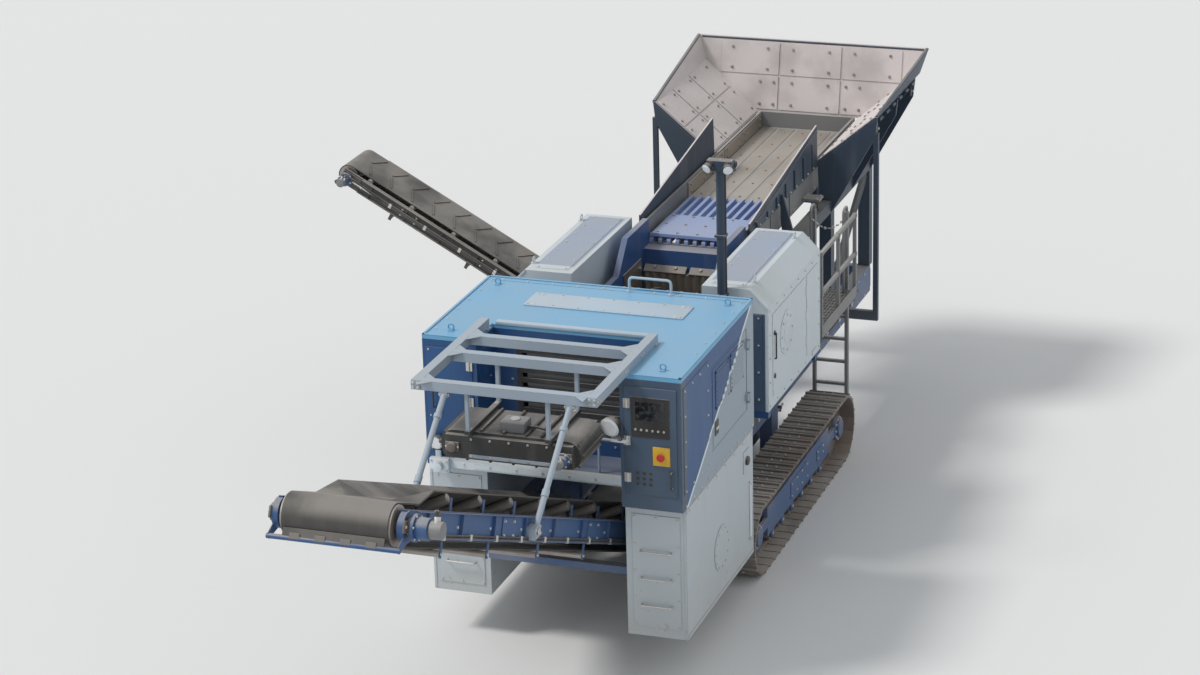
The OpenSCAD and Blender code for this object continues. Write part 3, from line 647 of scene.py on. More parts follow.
def lamp(point, aim, radius):
    """A round work lamp: finned housing, bezel and glass, with its stirrup."""
    point, aim = Vector(point), Vector(aim).normalized()
    parts = [stub(point, aim * 0.05, radius, "black_paint", 32, 0.004, 2),
             stub(point + aim * 0.045, aim * 0.013, radius * 1.06, "white_paint", 32, 0.003),
             stub(point + aim * 0.055, aim * 0.008, radius * 0.88, "lamp_glass", 32)]
    for k in range(4):
        back = point - aim * (0.012 + 0.012 * k)
        parts.append(stub(back, aim * 0.004, radius * (0.92 - 0.06 * k), "black_paint", edge=0))
    arm, drop = aim.cross(Vector(UP)).normalized() * radius * 1.12, Vector((0, 0, radius * 1.5))
    stirrup = [point + arm, point + arm - drop, point - arm - drop, point - arm]
    return parts + [pipe(stirrup, 0.006, "black_paint", bend=0.02)]


def motor(point, axis, radius, length):
    """A hydraulic motor on its flange, with two ports. It lies along the axis."""
    point, axis, up = Vector(point), Vector(axis), Vector(UP)
    side = axis.cross(up)
    middle = point + axis * length * 0.55
    parts = [stub(point, axis * 0.03, radius * 1.25, "blue_paint", 32, 0.003),
             drum(point + axis * 0.03, middle, radius, "blue_paint", 32, 0.006, 2),
             drum(middle, point + axis * length, radius * 0.8, "machine_grey", 24, 0.008, 2)]
    for way in BOTH:
        foot = point + axis * length * 0.75 + side * way * radius * 0.3
        parts.append(stub(foot, up * radius * 1.15, radius * 0.2, "zinc", 6))
    face, reach = point + axis * 0.03, radius * 1.13
    turns = [math.pi * k / 3 for k in range(6)]
    rim = [(face + (side * math.cos(a) + up * math.sin(a)) * reach, axis) for a in turns]
    return parts + bolts(rim, 0.012)


def sloping(angle, foot, across):
    """The turn and place of a conveyor's own measures: along its belt, across it and square to it."""
    c, s = math.cos(angle), math.sin(angle)
    if across == "x":
        rows = ((1, 0, 0, foot[0]), (0, -c, s, foot[1]), (0, s, c, foot[2]), (0, 0, 0, 1))
    else:
        rows = ((-c, 0, s, foot[0]), (0, 1, 0, foot[1]), (s, 0, c, foot[2]), (0, 0, 0, 1))
    return Matrix(rows)


def laid(parts, placing):
    """Parts made level at the machine's origin, moved to where a sloping frame holds them."""
    for part in parts:
        part.data.transform(HOME @ placing @ AWAY)
        if placing.determinant() < 0:
            part.data.flip_normals()
    return parts


def clamps(points, size):
    """Bars that clamp a bundle of pipes, one at each point."""
    half = Vector(size) / 2
    return [block(Vector(point) - half, Vector(point) + half, "zinc", edge=0.004) for point in points]


# The panel's settings


def colour(name, description, default):
    """A colour property."""
    return bpy.props.FloatVectorProperty(name=name, description=description, subtype="COLOR",
                                         default=default, min=0, max=1)


class LooksProperties(bpy.types.PropertyGroup):
    """Colours and dirt of the machine."""

    sky_blue: colour("Roof blue", "Light blue of the power pack's roof", (0.150, 0.420, 0.665))
    deep_blue: colour("Deep blue", "Blue of the chassis and housing", (0.008, 0.074, 0.225))
    # this violet is painted sky reflection on the feeder's bare steel
    violet: colour("Feeder blue", "Violet blue of the feeder's end", (0.245, 0.345, 0.62))
    # slate also paints the painted shade on the guards' front faces and, in part, on the pack's front column
    slate: colour("Slate", "Dark slate blue of the control cabinet", (0.050, 0.090, 0.150))
    navy: colour("Navy", "Near-black blue of the crusher and hopper", (0.018, 0.040, 0.072))
    panel_white: colour("Panel white", "Cold white of guards and tanks", (0.70, 0.79, 0.84))
    field_grey: colour("Anti-slip grey", "Blue grey of the guards' tops", (0.27, 0.345, 0.47))
    frame_grey: colour("Frame grey", "Light grey of the magnet's frame", (0.35, 0.43, 0.51))
    machine_grey: colour("Machine grey", "Grey of feeder, chute and engine", (0.20, 0.205, 0.21))
    dust_colour: colour("Dust", "Colour of the stone dust", (0.50, 0.465, 0.42))
    dust: bpy.props.FloatProperty(
        name="Dustiness", description="How thickly dust covers the machine", default=1.0, min=0, max=2)


class CRUSHER_OT_finishes(bpy.types.Operator):
    """Paint every node of the frame"""

    bl_idname = "crusher.finishes"
    bl_label = "Finishes"

    def execute(self, context):
        make_finishes()
        finish_of = {node: finish for finish, nodes in CAD_FINISHES.items() for node in nodes.split()}
        odd = set(NODES) ^ set(finish_of)
        if odd:
            raise RuntimeError("nodes without a finish, or finishes without a node: "
                               + ", ".join(sorted(odd)))
        for node, finish in finish_of.items():
            coat(NODES[node], finish)
        return {"FINISHED"}


class CRUSHER_OT_stage(bpy.types.Operator):
    """Add the floor, the studio light and the camera"""

    bl_idname = "crusher.stage"
    bl_label = "Stage"

    def execute(self, context):
        hold()
        bpy.ops.mesh.primitive_plane_add(size=600, location=(0, 0, 0))
        floor = context.object
        floor.name = "floor"
        cover = bpy.data.materials.new("floor_cover")
        cover.use_nodes = True
        shader = cover.node_tree.nodes["Principled BSDF"]
        shader.inputs["Base Color"].default_value = (0.80, 0.80, 0.79, 1)
        shader.inputs["Roughness"].default_value = 0.9
        floor.data.materials.append(cover)
        self.surroundings(context)

        bpy.ops.object.light_add(type="SUN", location=at(8, -12, 20))
        sun = context.object
        sun.name = "soft_key"
        sun.data.energy, sun.data.color = 1.65, (1.0, 0.98, 0.95)
        sun.data.angle = math.radians(14)
        sun.rotation_euler = Vector(SUN_RAYS).to_track_quat("-Z", "Y").to_euler()

        camera = bpy.data.cameras.new("camera")
        camera.sensor_width, camera.lens, camera.clip_end = 36, CAMERA_LENS, 2000
        view = bpy.data.objects.new("camera", camera)
        context.scene.collection.objects.link(view)
        view.location = at(*CAMERA_PLACE)
        turn = Matrix.Identity(4)
        for angle, axis in ((CAMERA_TURN, "Z"), (90 - CAMERA_DIP, "X"), (CAMERA_ROLL, "Z")):
            turn = turn @ Matrix.Rotation(math.radians(angle), 4, axis)
        view.rotation_euler = turn.to_euler()
        context.scene.camera = view
        context.scene.view_settings.view_transform = "Standard"
        return {"FINISHED"}

    def surroundings(self, context):
        """Soft sky light, which looks plain white to the camera and in reflections."""
        world = context.scene.world = bpy.data.worlds.new("studio")
        world.use_nodes = True
        nodes, link = world.node_tree.nodes, world.node_tree.links.new
        back, plain = nodes["Background"], nodes.new("ShaderNodeBackground")
        back.inputs["Color"].default_value = (0.93, 0.96, 1.0, 1)
        back.inputs["Strength"].default_value = 0.56
        plain.inputs["Color"].default_value = (1, 1, 1, 1)
        ray = nodes.new("ShaderNodeLightPath").outputs
        seen = ray["Is Camera Ray"]
        for kind in ("Is Transmission Ray", "Is Glossy Ray"):
            either = nodes.new("ShaderNodeMath")
            either.operation = "MAXIMUM"
            link(seen, either.inputs[0])
            link(ray[kind], either.inputs[1])
            seen = either.outputs[0]
        pick = nodes.new("ShaderNodeMixShader")
        for i, socket in enumerate((seen, back.outputs[0], plain.outputs[0])):
            link(socket, pick.inputs[i])
        link(pick.outputs[0], nodes["World Output"].inputs[0])


# The fittings


class CRUSHER_OT_guard_fittings(bpy.types.Operator):
    """Add covers, hinges, latches, bolts and lifting eyes to the flywheel guards"""

    bl_idname = "crusher.guard_fittings"
    bl_label = "Guard fittings"

    def execute(self, context):
        (_, y0, z0), (x, y1, top) = node_box("right_flywheel_guard")
        lip, shaft = top - 0.2, (x, -0.96, 2.6)
        parts = blocks("guard_paint_and_painted_light",
                       (x, y0 + 0.16, z0 + 0.12, x + 0.007, y1 - 0.62, lip - 0.12),
                       (x, y1 - 0.56, z0 + 0.12, x + 0.007, y1 - 0.10, lip - 0.12),
                       (x - 0.70, y0 - 0.006, z0 + 0.10, x - 0.07, y0, lip - 0.08),
                       (x - 0.70, y1, z0 + 0.10, x - 0.07, y1 + 0.006, lip - 0.08),
                       (x - 0.67, y0 + 0.10, top, x - 0.29, y1 - 0.10, top + 0.005))
        parts += [stub(shaft, (0.016, 0, 0), 0.25, "guard_paint_and_painted_light", 48, 0.004, 2),
                  stub(shaft, (0.021, 0, 0), 0.12, "guard_paint_and_painted_light", 32, 0.004, 2)]
        # folded lips along the corners
        for y, way in ((y0, -1), (y1, 1)):
            parts.append(block((x - 0.022, y, z0), (x + 0.004, y + way * 0.008, lip), "guard_paint_and_painted_light"))
            outline = [(x + 0.002, lip), (x - 0.2, top + 0.002),
                       (x - 0.215, top - 0.018), (x - 0.02, lip - 0.02)]
            parts.append(flat(1, y + way * 0.004, outline, 0.009, "guard_paint_and_painted_light"))
        parts += bolts(circle(x + 0.016, *shaft[1:], 0.205, 8), 0.014)
        front, cover = y0 - 0.006, top + 0.005
        parts += frame_bolts((x, y0 + 0.06, z0 + 0.05), (x, y1 - 0.05, lip - 0.05), 0, 1, 0.30)
        parts += frame_bolts((x - 0.66, front, z0 + 0.14), (x - 0.11, front, lip - 0.12), 1, -1, 0.28)
        parts += frame_bolts((x - 0.64, y0 + 0.13, cover), (x - 0.32, y1 - 0.13, cover), 2, 1, 0.30)
        for z in (z0 + 0.3, (z0 + lip) / 2, lip - 0.3):
            parts += hinge((x, y1 - 0.60, z), 0.11, (1, 0, 0))
        latch, skin, out, sill, back = y0 + 0.22, x + 0.007, (1, 0, 0), 1.98, x - 0.03
        for z in (z0 + 0.35, lip - 0.35):
            parts.append(stub((skin, latch, z), (0.012, 0, 0), 0.028, "black_paint", 20))
            parts += blocks("zinc", (skin + 0.012, latch - 0.005, z - 0.03,
                                     skin + 0.018, latch + 0.005, z + 0.03))
        parts.append(grip((skin, latch, 2.45), (skin, latch, 2.75), out, "black_paint", reach=0.02))
        parts.append(grip((back, y1 - 0.35, sill), (back, y1 - 0.15, sill), out, "zinc", reach=0.035))
        for y in (y0 + 0.25, y1 - 0.25):
            parts += lifting_eye((x - 0.22, y, top - 0.001), "guard_paint_and_painted_light")
        pair("{}_guard_fittings", parts)
        return {"FINISHED"}


class CRUSHER_OT_pack_fittings(bpy.types.Operator):
    """Add louvres, panels, handles, hatch, eyes and the control cabinet to the power pack"""

    bl_idname = "crusher.pack_fittings"
    bl_label = "Power pack fittings"

    def execute(self, context):
        self.roof()
        self.walls()
        self.front()
        self.door()
        return {"FINISHED"}

    def roof(self):
        top, wide, rear = ROOF_TOP, 0.03, PACK_REAR
        left, right, front, step = wide - PACK_SIDE, PACK_SIDE - wide, PACK_FRONT, -4.15
        parts = [block((-0.80, -3.02, top), (0.98, -2.62, top + 0.014), "hatch_paint", 0.005, 2),
                 block((-0.87, -3.66, top), (0.83, -3.58, top + 0.035), "hatch_paint", 0.006, 2),
                 block((left, rear - 0.12, top), (right, rear - 0.08, top + 0.004), "roof_paint")]
        # folded drip edges round the roof and its open bay
        bay_left, bay_right, bay_rear = -0.9, 0.85, -3.65
        for a, b, c, d in (
                (-PACK_SIDE, step, bay_left, step + wide), (bay_right, front, PACK_SIDE, front + wide),
                (-PACK_SIDE, rear - wide, PACK_SIDE, rear), (-PACK_SIDE, step, left, rear),
                (right, front, PACK_SIDE, rear), (bay_left - wide, step, bay_left, bay_rear),
                (bay_right, front, bay_right + wide, bay_rear)):
            parts.append(block((a, b, top), (c, d, top + 0.012), "roof_paint", 0.004))
        parts += frame_bolts((-0.76, -2.99, top + 0.014), (0.94, -2.65, top + 0.014), 2, 1, 0.28)
        parts += bolts(facing(UP, (-1.42, 1.42), spaced(-3.95, -2.35, 0.32), top), 0.012)
        parts += bolts(facing(UP, spaced(-1.3, 1.3, 0.3), rear - 0.10, top + 0.004), 0.012)
        for x, y in ((-1.30, -2.45), (1.30, -2.45), (-1.25, -3.95), (1.25, -4.50)):
            parts += lifting_eye((x, y, top - 0.001), "roof_paint", REAR)
        parts += [stub((x, y, top + 0.012), (0, 0, 0.008), 0.022, "zinc", 16)
                  for x in (-0.70, 0.88) for y in (-2.98, -2.66)]
        piece("roof_fittings", parts)

    def walls(self):
        side, thick, sill, head = PACK_SIDE, 0.006, 2.14, 3.26
        face, parts = -side - thick, []
        for y0, y1 in ((-4.02, -3.42), (-3.30, -2.70)):
            parts += panel(0, -side, -thick, (y0 - 0.04, sill), (y1 + 0.04, head), "pack_paint_and_shade", 0.27,
                           (0.025, 0.03))
            parts += louvres(face, y0, y1, 2.62, 3.18, -1, "pack_paint_and_shade")
            parts.append(grip((face, y0 + 0.1, 2.42), (face, y0 + 0.28, 2.42), (-1, 0, 0), "black_paint",
                              reach=0.035))
        parts += panel(0, -side, -thick, (-2.60, sill), (-2.26, head), "pack_paint_and_shade", 0.27)
        # the fixed panel ahead of the door
        parts += panel(0, side, 0.005, (-4.64, 2.12), (-3.80, 3.28), "pack_paint_and_shade", 0.28, (0.04, 0.04))
        # bolts along the deck's edges
        for way, front in ((-1, -4.05), (1, -4.60)):
            parts += bolts(facing((way, 0, 0), way * side, spaced(front, -2.3, 0.25), 2.0), 0.014)
        # rear wall: access panels
        rear = PACK_REAR
        for x0, x1 in ((-1.35, -0.45), (-0.35, 0.35), (0.45, 1.35)):
            parts += panel(1, rear, thick, (x0, sill), (x1, head), "pack_paint_and_shade", 0.27)
            feet = [(x0 + dx, rear + thick, 2.7) for dx in (0.2, 0.4)]
            parts.append(grip(*feet, REAR, "black_paint", reach=0.03))
        piece("pack_wall_fittings", parts)

    def front(self):
        left, right, deck, rail = -4.16, PACK_FRONT - 0.012, 2.04, 2.42
        parts = [
            block((-1.46, left + 0.010, 2.12), (-0.95, left, 3.28), "pack_paint_and_shade", 0.004, 2),
            block((0.90, right + 0.012, 2.12), (1.45, right, 3.28), "cabinet_paint", 0.004, 2),
            block((0.97, right, 2.75), (1.38, right - 0.006, 3.18), "black_paint"),
            block((1.02, right - 0.006, 2.93), (1.33, right - 0.009, 3.13), "screen", 0.002),
            block((1.20, right, 2.46), (1.38, right - 0.018, 2.66), "sign_yellow", 0.004, 2),
            stub((1.29, right - 0.018, 2.56), (0, -0.015, 0), 0.028, "zinc"),
            stub((1.29, right - 0.033, 2.56), (0, -0.023, 0), 0.042, "stop_red", 32, 0.008, 3),
            block((-0.95, -4.235, 1.985), (0.75, -4.231, 2.045), "white_paint", 0.001),
        ]
        parts += [stub((1.02 + 0.06 * k, right - 0.006, 2.83), (0, -0.010, 0), 0.013, "zinc", 16)
                  for k in range(6)]
        for z in (2.3, 2.7, 3.1):
            parts += hinge((-0.98, left, z), 0.10, AHEAD) + hinge((0.925, right, z), 0.10, AHEAD)
        parts.append(grip((-1.38, left, 2.62), (-1.38, left, 2.84), AHEAD, "black_paint"))
        parts.append(grip((1.40, right, 2.22), (1.40, right, 2.40), AHEAD, "black_paint"))
        parts += frame_bolts((-1.43, left, 2.15), (-1.00, left, 3.25), 1, -1, 0.36, 0.010)
        # vents of the front column, black discs that are painted shade in their holes, and the inner faces
        # beside the grille
        parts += [stub((x, right, z), (0, -0.003, 0), 0.02, "black_paint", 16, 0)
                  for x in (1.03, 1.10, 1.17) for z in (2.24, 2.30, 2.36)]
        (x0, face, z0), (x1, _, z1) = node_box("radiator_grille")
        parts += frame_bolts((x0 - 0.05, face, z0 - 0.05), (x1 + 0.05, face, z1 + 0.05), 1, -1, 0.22)
        for thick, x in ((0.005, -0.9), (-0.005, 0.85)):
            parts += panel(0, x, thick, (-4.08, 2.16), (-3.74, 3.24), "pack_paint_and_shade", 0.3, size=0.010)
        # a low rail round the deck in front of the grille
        y, ends = -4.10, (-0.86, 0.80)
        parts.append(pipe([(ends[0], y, deck), (ends[0], y, rail), (ends[1], y, rail), (ends[1], y, deck)],
                          0.018, "frame_grey"))
        parts += [drum((x, y, deck), (x, y, rail), 0.014, "frame_grey", 12)
                  for x in spaced(-0.5, 0.4, 0.45)]
        parts += bolts(facing(AHEAD, spaced(-1.35, 0.70, 0.29), -4.23, 2.02), 0.014)
        piece("pack_front_fittings", parts)

    def door(self):
        (inside, y0, z0), (_, _, z1) = node_box("power_pack_door")
        x = PACK_SIDE + 0.004
        parts = [block((PACK_SIDE, y0 + 0.03, z0 + 0.03), (x, -2.56, z1 - 0.03), "pack_paint_and_shade")]
        for start, end in ((-3.58, -3.12), (-3.06, -2.60)):
            parts += louvres(x, start, end, 2.66, 3.08, 1, "pack_paint_and_shade")
        parts.append(block((x, -3.62, 2.38), (x + 0.008, -3.50, 2.54), "black_paint"))
        parts.append(block((x + 0.008, -3.60, 2.44), (x + 0.018, -3.52, 2.47), "zinc"))
        for z in (2.43, 3.01):
            parts += bolts(facing((1, 0, 0), x + 0.006, (-2.508, -2.488), z), 0.007)
        # seal and stiffeners inside
        seal, edge = inside - 0.010, y0 + 0.02
        parts += blocks("rubber", (seal, edge, z0 + 0.02, inside, -2.50, z0 + 0.035),
                        (seal, edge, z1 - 0.035, inside, -2.50, z1 - 0.02),
                        (seal, edge, z0 + 0.02, inside, edge + 0.015, z1 - 0.02),
                        (seal, -2.515, z0 + 0.02, inside, -2.50, z1 - 0.02))
        parts += [block((inside - 0.022, y0 + 0.08, z), (inside, -2.56, z + 0.03), "pack_paint_and_shade")
                  for z in (2.52, 2.86)]
        piece("door_fittings", parts, body="engine_door")


class CRUSHER_OT_lights(bpy.types.Operator):
    """Add the lamps of the mast and of the power pack"""

    bl_idname = "crusher.lights"
    bl_label = "Lamps"

    def execute(self, context):
        low, high = node_box("light_mast")
        (x, y, _), z = (low + high) / 2, high.z
        parts = []
        for way in BOTH:
            for side in BOTH:
                parts += lamp((x + side * 0.10, y + way * 0.075, z - 0.055), (side * 0.5, way, -0.55), 0.05)
        parts += bolts(facing(UP, (x - 0.12, x, x + 0.12), y, z - 0.001), 0.009)
        parts += blocks("navy_paint", *[(x - 0.06, y - 0.06, h, x + 0.06, y + 0.06, h + 0.03)
                                        for h in (2.42, 3.22, 3.9)])
        cable = x + 0.055
        parts.append(pipe([(cable, y, 2.3), (cable, y, 4.62), (x + 0.02, y, 4.66)], 0.008, "rubber"))
        piece("mast_lamps", parts)
        work = lamp((0.78, -4.74, 2.86), (-0.25, -1, -0.25), 0.10)
        work += lamp((-1.36, -4.17, 2.24), (-0.15, -1, -0.25), 0.07)
        work.append(block((0.76, -4.76, 2.68), (0.93, -4.70, 2.72), "white_paint", 0.006, 2))
        work.append(block((-1.39, -4.19, 2.06), (-1.33, -4.16, 2.14), "white_paint"))
        piece("work_lamps", work)
        return {"FINISHED"}


class CRUSHER_OT_hopper_fittings(bpy.types.Operator):
    """Add rim channels, liners, ribs and locks to the hopper"""

    bl_idname = "crusher.hopper_fittings"
    bl_label = "Hopper fittings"

    def execute(self, context):
        self.sides()
        self.rear()
        return {"FINISHED"}

    def sides(self):
        # the right wall's inner face, across: foot, knee and rim
        foot, knee, rim_x = (0.66, 3.23), (1.40, 3.85), 1.495
        slope = Vector((knee[0] - foot[0], 0, knee[1] - foot[1]))
        reach, lean = slope.length, slope.normalized()
        inward = Vector((-lean.z, 0, lean.x))

        def on_wall(s, y, lift):
            """A point on the sloping inner face, s metres up from its foot."""
            return Vector((foot[0], y, foot[1])) + lean * s + inward * lift

        parts, heads = [], []
        for y_a, y_b in ((3.32, 3.92), (3.94, 4.58), (4.60, 5.26)):
            for s_a, s_b in ((0.02, reach / 2 - 0.01), (reach / 2 + 0.01, reach - 0.02)):
                corners = ((s_a, y_a), (s_a, y_b), (s_b, y_b), (s_b, y_a))
                parts.append(sheet_metal([on_wall(s, y, 0.004) for s, y in corners], 0.008, "hopper_paint"))
                heads += [(on_wall(s, y, 0.008), inward) for y in (y_a + 0.08, y_b - 0.08)
                          for s in (s_a + 0.07, s_b - 0.07)]
        parts += bolts(heads, 0.018, "roller_steel")
        # outer ribs under the slope, and the rim channel
        for y in (3.62, 3.95, 4.70, 5.00):
            corners = ((0.10, -0.034), (reach - 0.03, -0.034), (reach - 0.03, -0.094), (0.10, -0.094))
            parts.append(sheet_metal([on_wall(s, y, lift) for s, lift in corners], 0.012, "navy_paint"))
        rim, front, rear, lift = [], 3.29, 5.48, 0.3
        for y in (3.31, 4.2, 5.1, 5.46):
            share = (y - front) / (rear - front)
            rim.append((knee[0] + 0.017 + (rim_x - knee[0]) * share, y, knee[1] + lift * share))
        parts.append(pipe(rim, 0.022, "navy_paint", bend=0.01, sides=3))
        # hinge barrels along the fold line and the wedge locks
        parts += [stub((knee[0] + 0.030, y - 0.06, knee[1] - 0.055), (0, 0.12, 0), 0.019, "navy_paint", 16)
                  for y in spaced(3.45, 5.05, 0.32)]
        for y in (3.42, 5.15):
            parts.append(block((1.36, y - 0.05, 3.62), (1.395, y + 0.05, 3.74), "navy_paint"))
            parts.append(stub((1.34, y, 3.68), (0.08, 0, 0), 0.016, "zinc", 12))
        # front wing beside the grizzly: stiffeners along and under its sloping edge
        stiffener = [(0.47, 3.24), (3.28, 3.655), (3.28, 3.60), (0.47, 3.185)]
        parts.append(flat(0, 0.675, stiffener, 0.010, "navy_paint"))
        for y in spaced(0.75, 3.05, 0.38):
            along = y - 0.46
            outline = [(0.672, 3.19), (0.69, 3.19),
                       (0.69, 3.20 + 0.125 * along), (0.672, 3.20 + 0.13 * along)]
            parts.append(flat(1, y, outline, 0.010, "navy_paint"))
        parts += bolts(facing((1, 0, 0), 0.67, spaced(0.6, 3.15, 0.26), 3.20), 0.014)
        pair("hopper_{}_fittings", parts)

    def rear(self):
        foot_z, foot_y, tilt, top = node_box("hopper_rear_wall")[0].z, 5.295, 0.18 / 0.92, 4.12

        def on_wall(z, out=0.0):
            """How far back the sloping wall is at a height, and out from its liners."""
            return foot_y + out + tilt * (z - foot_z)

        parts, heads = [], []
        for x0, x1 in ((-1.2, -0.42), (-0.40, 0.40), (0.42, 1.2)):
            for z0, z1 in ((3.26, 3.68), (3.70, 4.10)):
                low_x0, low_x1 = [math.copysign(0.72, x) if z0 < 3.5 and abs(x) > 1 else x
                                  for x in (x0, x1)]
                y0, y1 = on_wall(z0), on_wall(z1)
                liner = [(low_x0, y0, z0), (low_x1, y0, z0), (x1, y1, z1), (x0, y1, z1)]
                parts.append(sheet_metal(liner, 0.008, "hopper_paint"))
                heads += [((x, on_wall(z, -0.004), z), (0, -1, tilt))
                          for x in (0.8 * low_x0 + 0.2 * low_x1, 0.2 * low_x0 + 0.8 * low_x1)
                          for z in (z0 + 0.07, z1 - 0.07)]
        parts += bolts(heads, 0.018, "roller_steel")
        for x in spaced(-1.05, 1.05, 0.42):
            low_z = 3.24 if abs(x) < 0.7 else 3.62
            a, b = on_wall(low_z, 0.04), on_wall(top, 0.04)
            rib = [(a, low_z), (b, top), (b + 0.02, top), (a + 0.06, low_z)]
            parts.append(flat(0, x, rib, 0.012, "navy_paint"))
        parts.append(pipe([(-1.47, 5.488, 4.13), (1.47, 5.488, 4.13)], 0.019, "navy_paint", sides=3))
        piece("hopper_rear_fittings", parts)


class CRUSHER_OT_feeder_fittings(bpy.types.Operator):
    """Add coil springs, wear strips and the exciter's bolts to the feeder"""

    bl_idname = "crusher.feeder_fittings"
    bl_label = "Feeder fittings"

    def execute(self, context):
        self.springs()
        parts, across = [], spaced(-0.48, 0.48, 0.24)
        for side in BOTH:
            for y0, y1 in ((2.08, 2.80), (2.82, 3.54), (3.56, 4.28), (4.30, 5.18)):
                parts.append(block((side * 0.598, y0, 3.055), (side * 0.586, y1, 3.235), "jaw_steel"))
                places = facing((-side, 0, 0), side * 0.586, (y0 + 0.1, y1 - 0.1), (3.10, 3.19))
                parts += bolts(places, 0.016, "roller_steel")
            parts += bolts(facing((side, 0, 0), side * 0.630, spaced(0.55, 5.15, 0.46), 2.90), 0.014)
            parts += bolts([((side * x, y, 2.93), UP) for y in (0.92, 1.08, 2.77, 2.93, 4.72, 4.88)
                            for x in (0.66, 0.82)], 0.012)
        parts += blocks("jaw_steel", *[(x - 0.10, 2.10, 3.05, x + 0.10, 5.16, 3.056) for x in across],
                        edge=0.002)
        parts += bolts(facing(UP, across, spaced(2.25, 5.0, 0.55), 3.056), 0.014, "roller_steel")
        # plate bolted over the front half of the grizzly, with its upturned end; its violet is painted sky
        # reflection on the steel
        parts.append(block((-0.545, 0.475, 3.101), (0.545, 1.24, 3.111), "violet_sky_reflection"))
        parts.append(block((-0.545, 0.462, 3.085), (0.545, 0.480, 3.128), "violet_sky_reflection", 0.004))
        parts += bolts(facing(UP, across, (0.56, 0.88, 1.18), 3.111), 0.016, "roller_steel")
        piece("feeder_liners", parts)

        drive = []
        for side in BOTH:
            drive += bolts(circle(side * 0.59, 3.8, 2.8, 0.12, 8, side), 0.012)
        drive += motor((0.0, 4.35, 2.80), REAR, 0.09, 0.24)
        piece("feeder_drive_fittings", drive)
        return {"FINISHED"}

    def springs(self):
        """Coils of round wire between their cups, in place of the plain springs."""
        low, high = [corner.z for corner in node_box("feeder_springs")]
        turns, steps, coil, seat, parts = 5, 14, 0.030, 0.006, []
        for x, y in [(side * 0.77, y) for side in BOTH for y in (0.955, 1.045, 2.805, 2.895, 4.755, 4.845)]:
            path = []
            for k in range(turns * steps + 1):
                angle = 2 * math.pi * k / steps
                rise = min(max((k / steps - 0.5) / (turns - 1), 0.0), 1.0)
                path.append((x + coil * math.cos(angle), y + coil * math.sin(angle),
                             low + seat + rise * (high - low - 2 * seat)))
            parts.append(wire(path, 0.007, "black_paint", 1))
            parts += [stub((x, y, z), (0, 0, 0.004), 0.039, "black_paint", 20, 0.001)
                      for z in (low, high - 0.004)]
        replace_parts(piece("feeder_coil_springs", parts, smooth=60), "feeder_springs")


class CRUSHER_OT_undercarriage_fittings(bpy.types.Operator):
    """Add sprocket teeth, hub covers, carrier rollers and shoe bolts to the crawler tracks"""

    bl_idname = "crusher.undercarriage_fittings"
    bl_label = "Undercarriage fittings"

    def execute(self, context):
        low, high = node_box("right_track_chain")
        half, mid_z, track_x = 1.7, high.z / 2, (low.x + high.x) / 2
        outer, face = track_x + 0.11, track_x + 0.15
        parts = []

        def tooth(x, a):
            """One tooth of the sprocket, at its angle."""
            corners = ((0.318, a - 0.09), (0.345, a - 0.035), (0.345, a + 0.035), (0.318, a + 0.09))
            outline = [(-half + r * math.cos(t), mid_z + r * math.sin(t)) for r, t in corners]
            return flat(0, x, outline, 0.02, "roller_steel", edge=0)

        # final drive with its sprocket at the front, idler at the rear
        for y in (-half, half):
            parts += [stub((outer, y, mid_z), (0.05, 0, 0), 0.15, "blue_paint", 40, 0.006, 2),
                      stub((outer + 0.05, y, mid_z), (0.035, 0, 0), 0.105, "blue_paint", 40, 0.012, 3)]
            parts += bolts(circle(outer + 0.05, y, mid_z, 0.128, 10), 0.014)
        parts += [tooth(track_x + side * 0.045, 2 * math.pi * k / 21) for k in range(21) for side in BOTH]
        # roller end caps
        for y in [-1.0 + 0.4 * k for k in range(6)]:
            for side in BOTH:
                x = track_x + side * 0.10
                parts += [stub((x, y, 0.18), (side * 0.03, 0, 0), 0.055, "blue_paint", 24, 0.005, 2),
                          stub((x + side * 0.03, y, 0.18), (side * 0.008, 0, 0), 0.02, "zinc", 6)]
        # frame side: inspection plate, tensioner cover and carrier rollers
        parts += panel(0, face, 0.008, (-0.35, 0.33), (0.35, 0.53), "blue_paint", 0.21, (0.03, 0.025))
        parts.append(block((face, 0.75, 0.36), (face + 0.006, 1.05, 0.50), "blue_paint"))
        parts += bolts(facing((1, 0, 0), face + 0.006, (0.79, 1.01), (0.39, 0.47)), 0.012)
        parts += [stub((track_x - 0.12, y, 0.70), (0.22, 0, 0), 0.045, "roller_steel", 28, 0.004, 2)
                  for y in (-0.7, 0.7)]
        # shoe bolts: four on each pad, along the top and round both ends
        heads, near = [], (-0.045, 0.045)
        for k in range(-9, 10):
            heads += [((track_x + dx, k * half / 9 + dy, 0.825), UP)
                      for dy in near for dx in (-0.055, 0.055)]
        for end in BOTH:
            for k in range(1, 7):
                a = math.pi / 2 - math.pi * k / 7
                out = Vector((0, end * math.cos(a), math.sin(a)))
                along = Vector((0, -end * math.sin(a), math.cos(a)))
                heads += [(Vector((track_x + dx, end * half, mid_z)) + out * 0.40 + along * d, out)
                          for d in near for dx in (-0.055, 0.055)]
        pair("{}_track_fittings", parts + bolts(heads, 0.013))
        return {"FINISHED"}


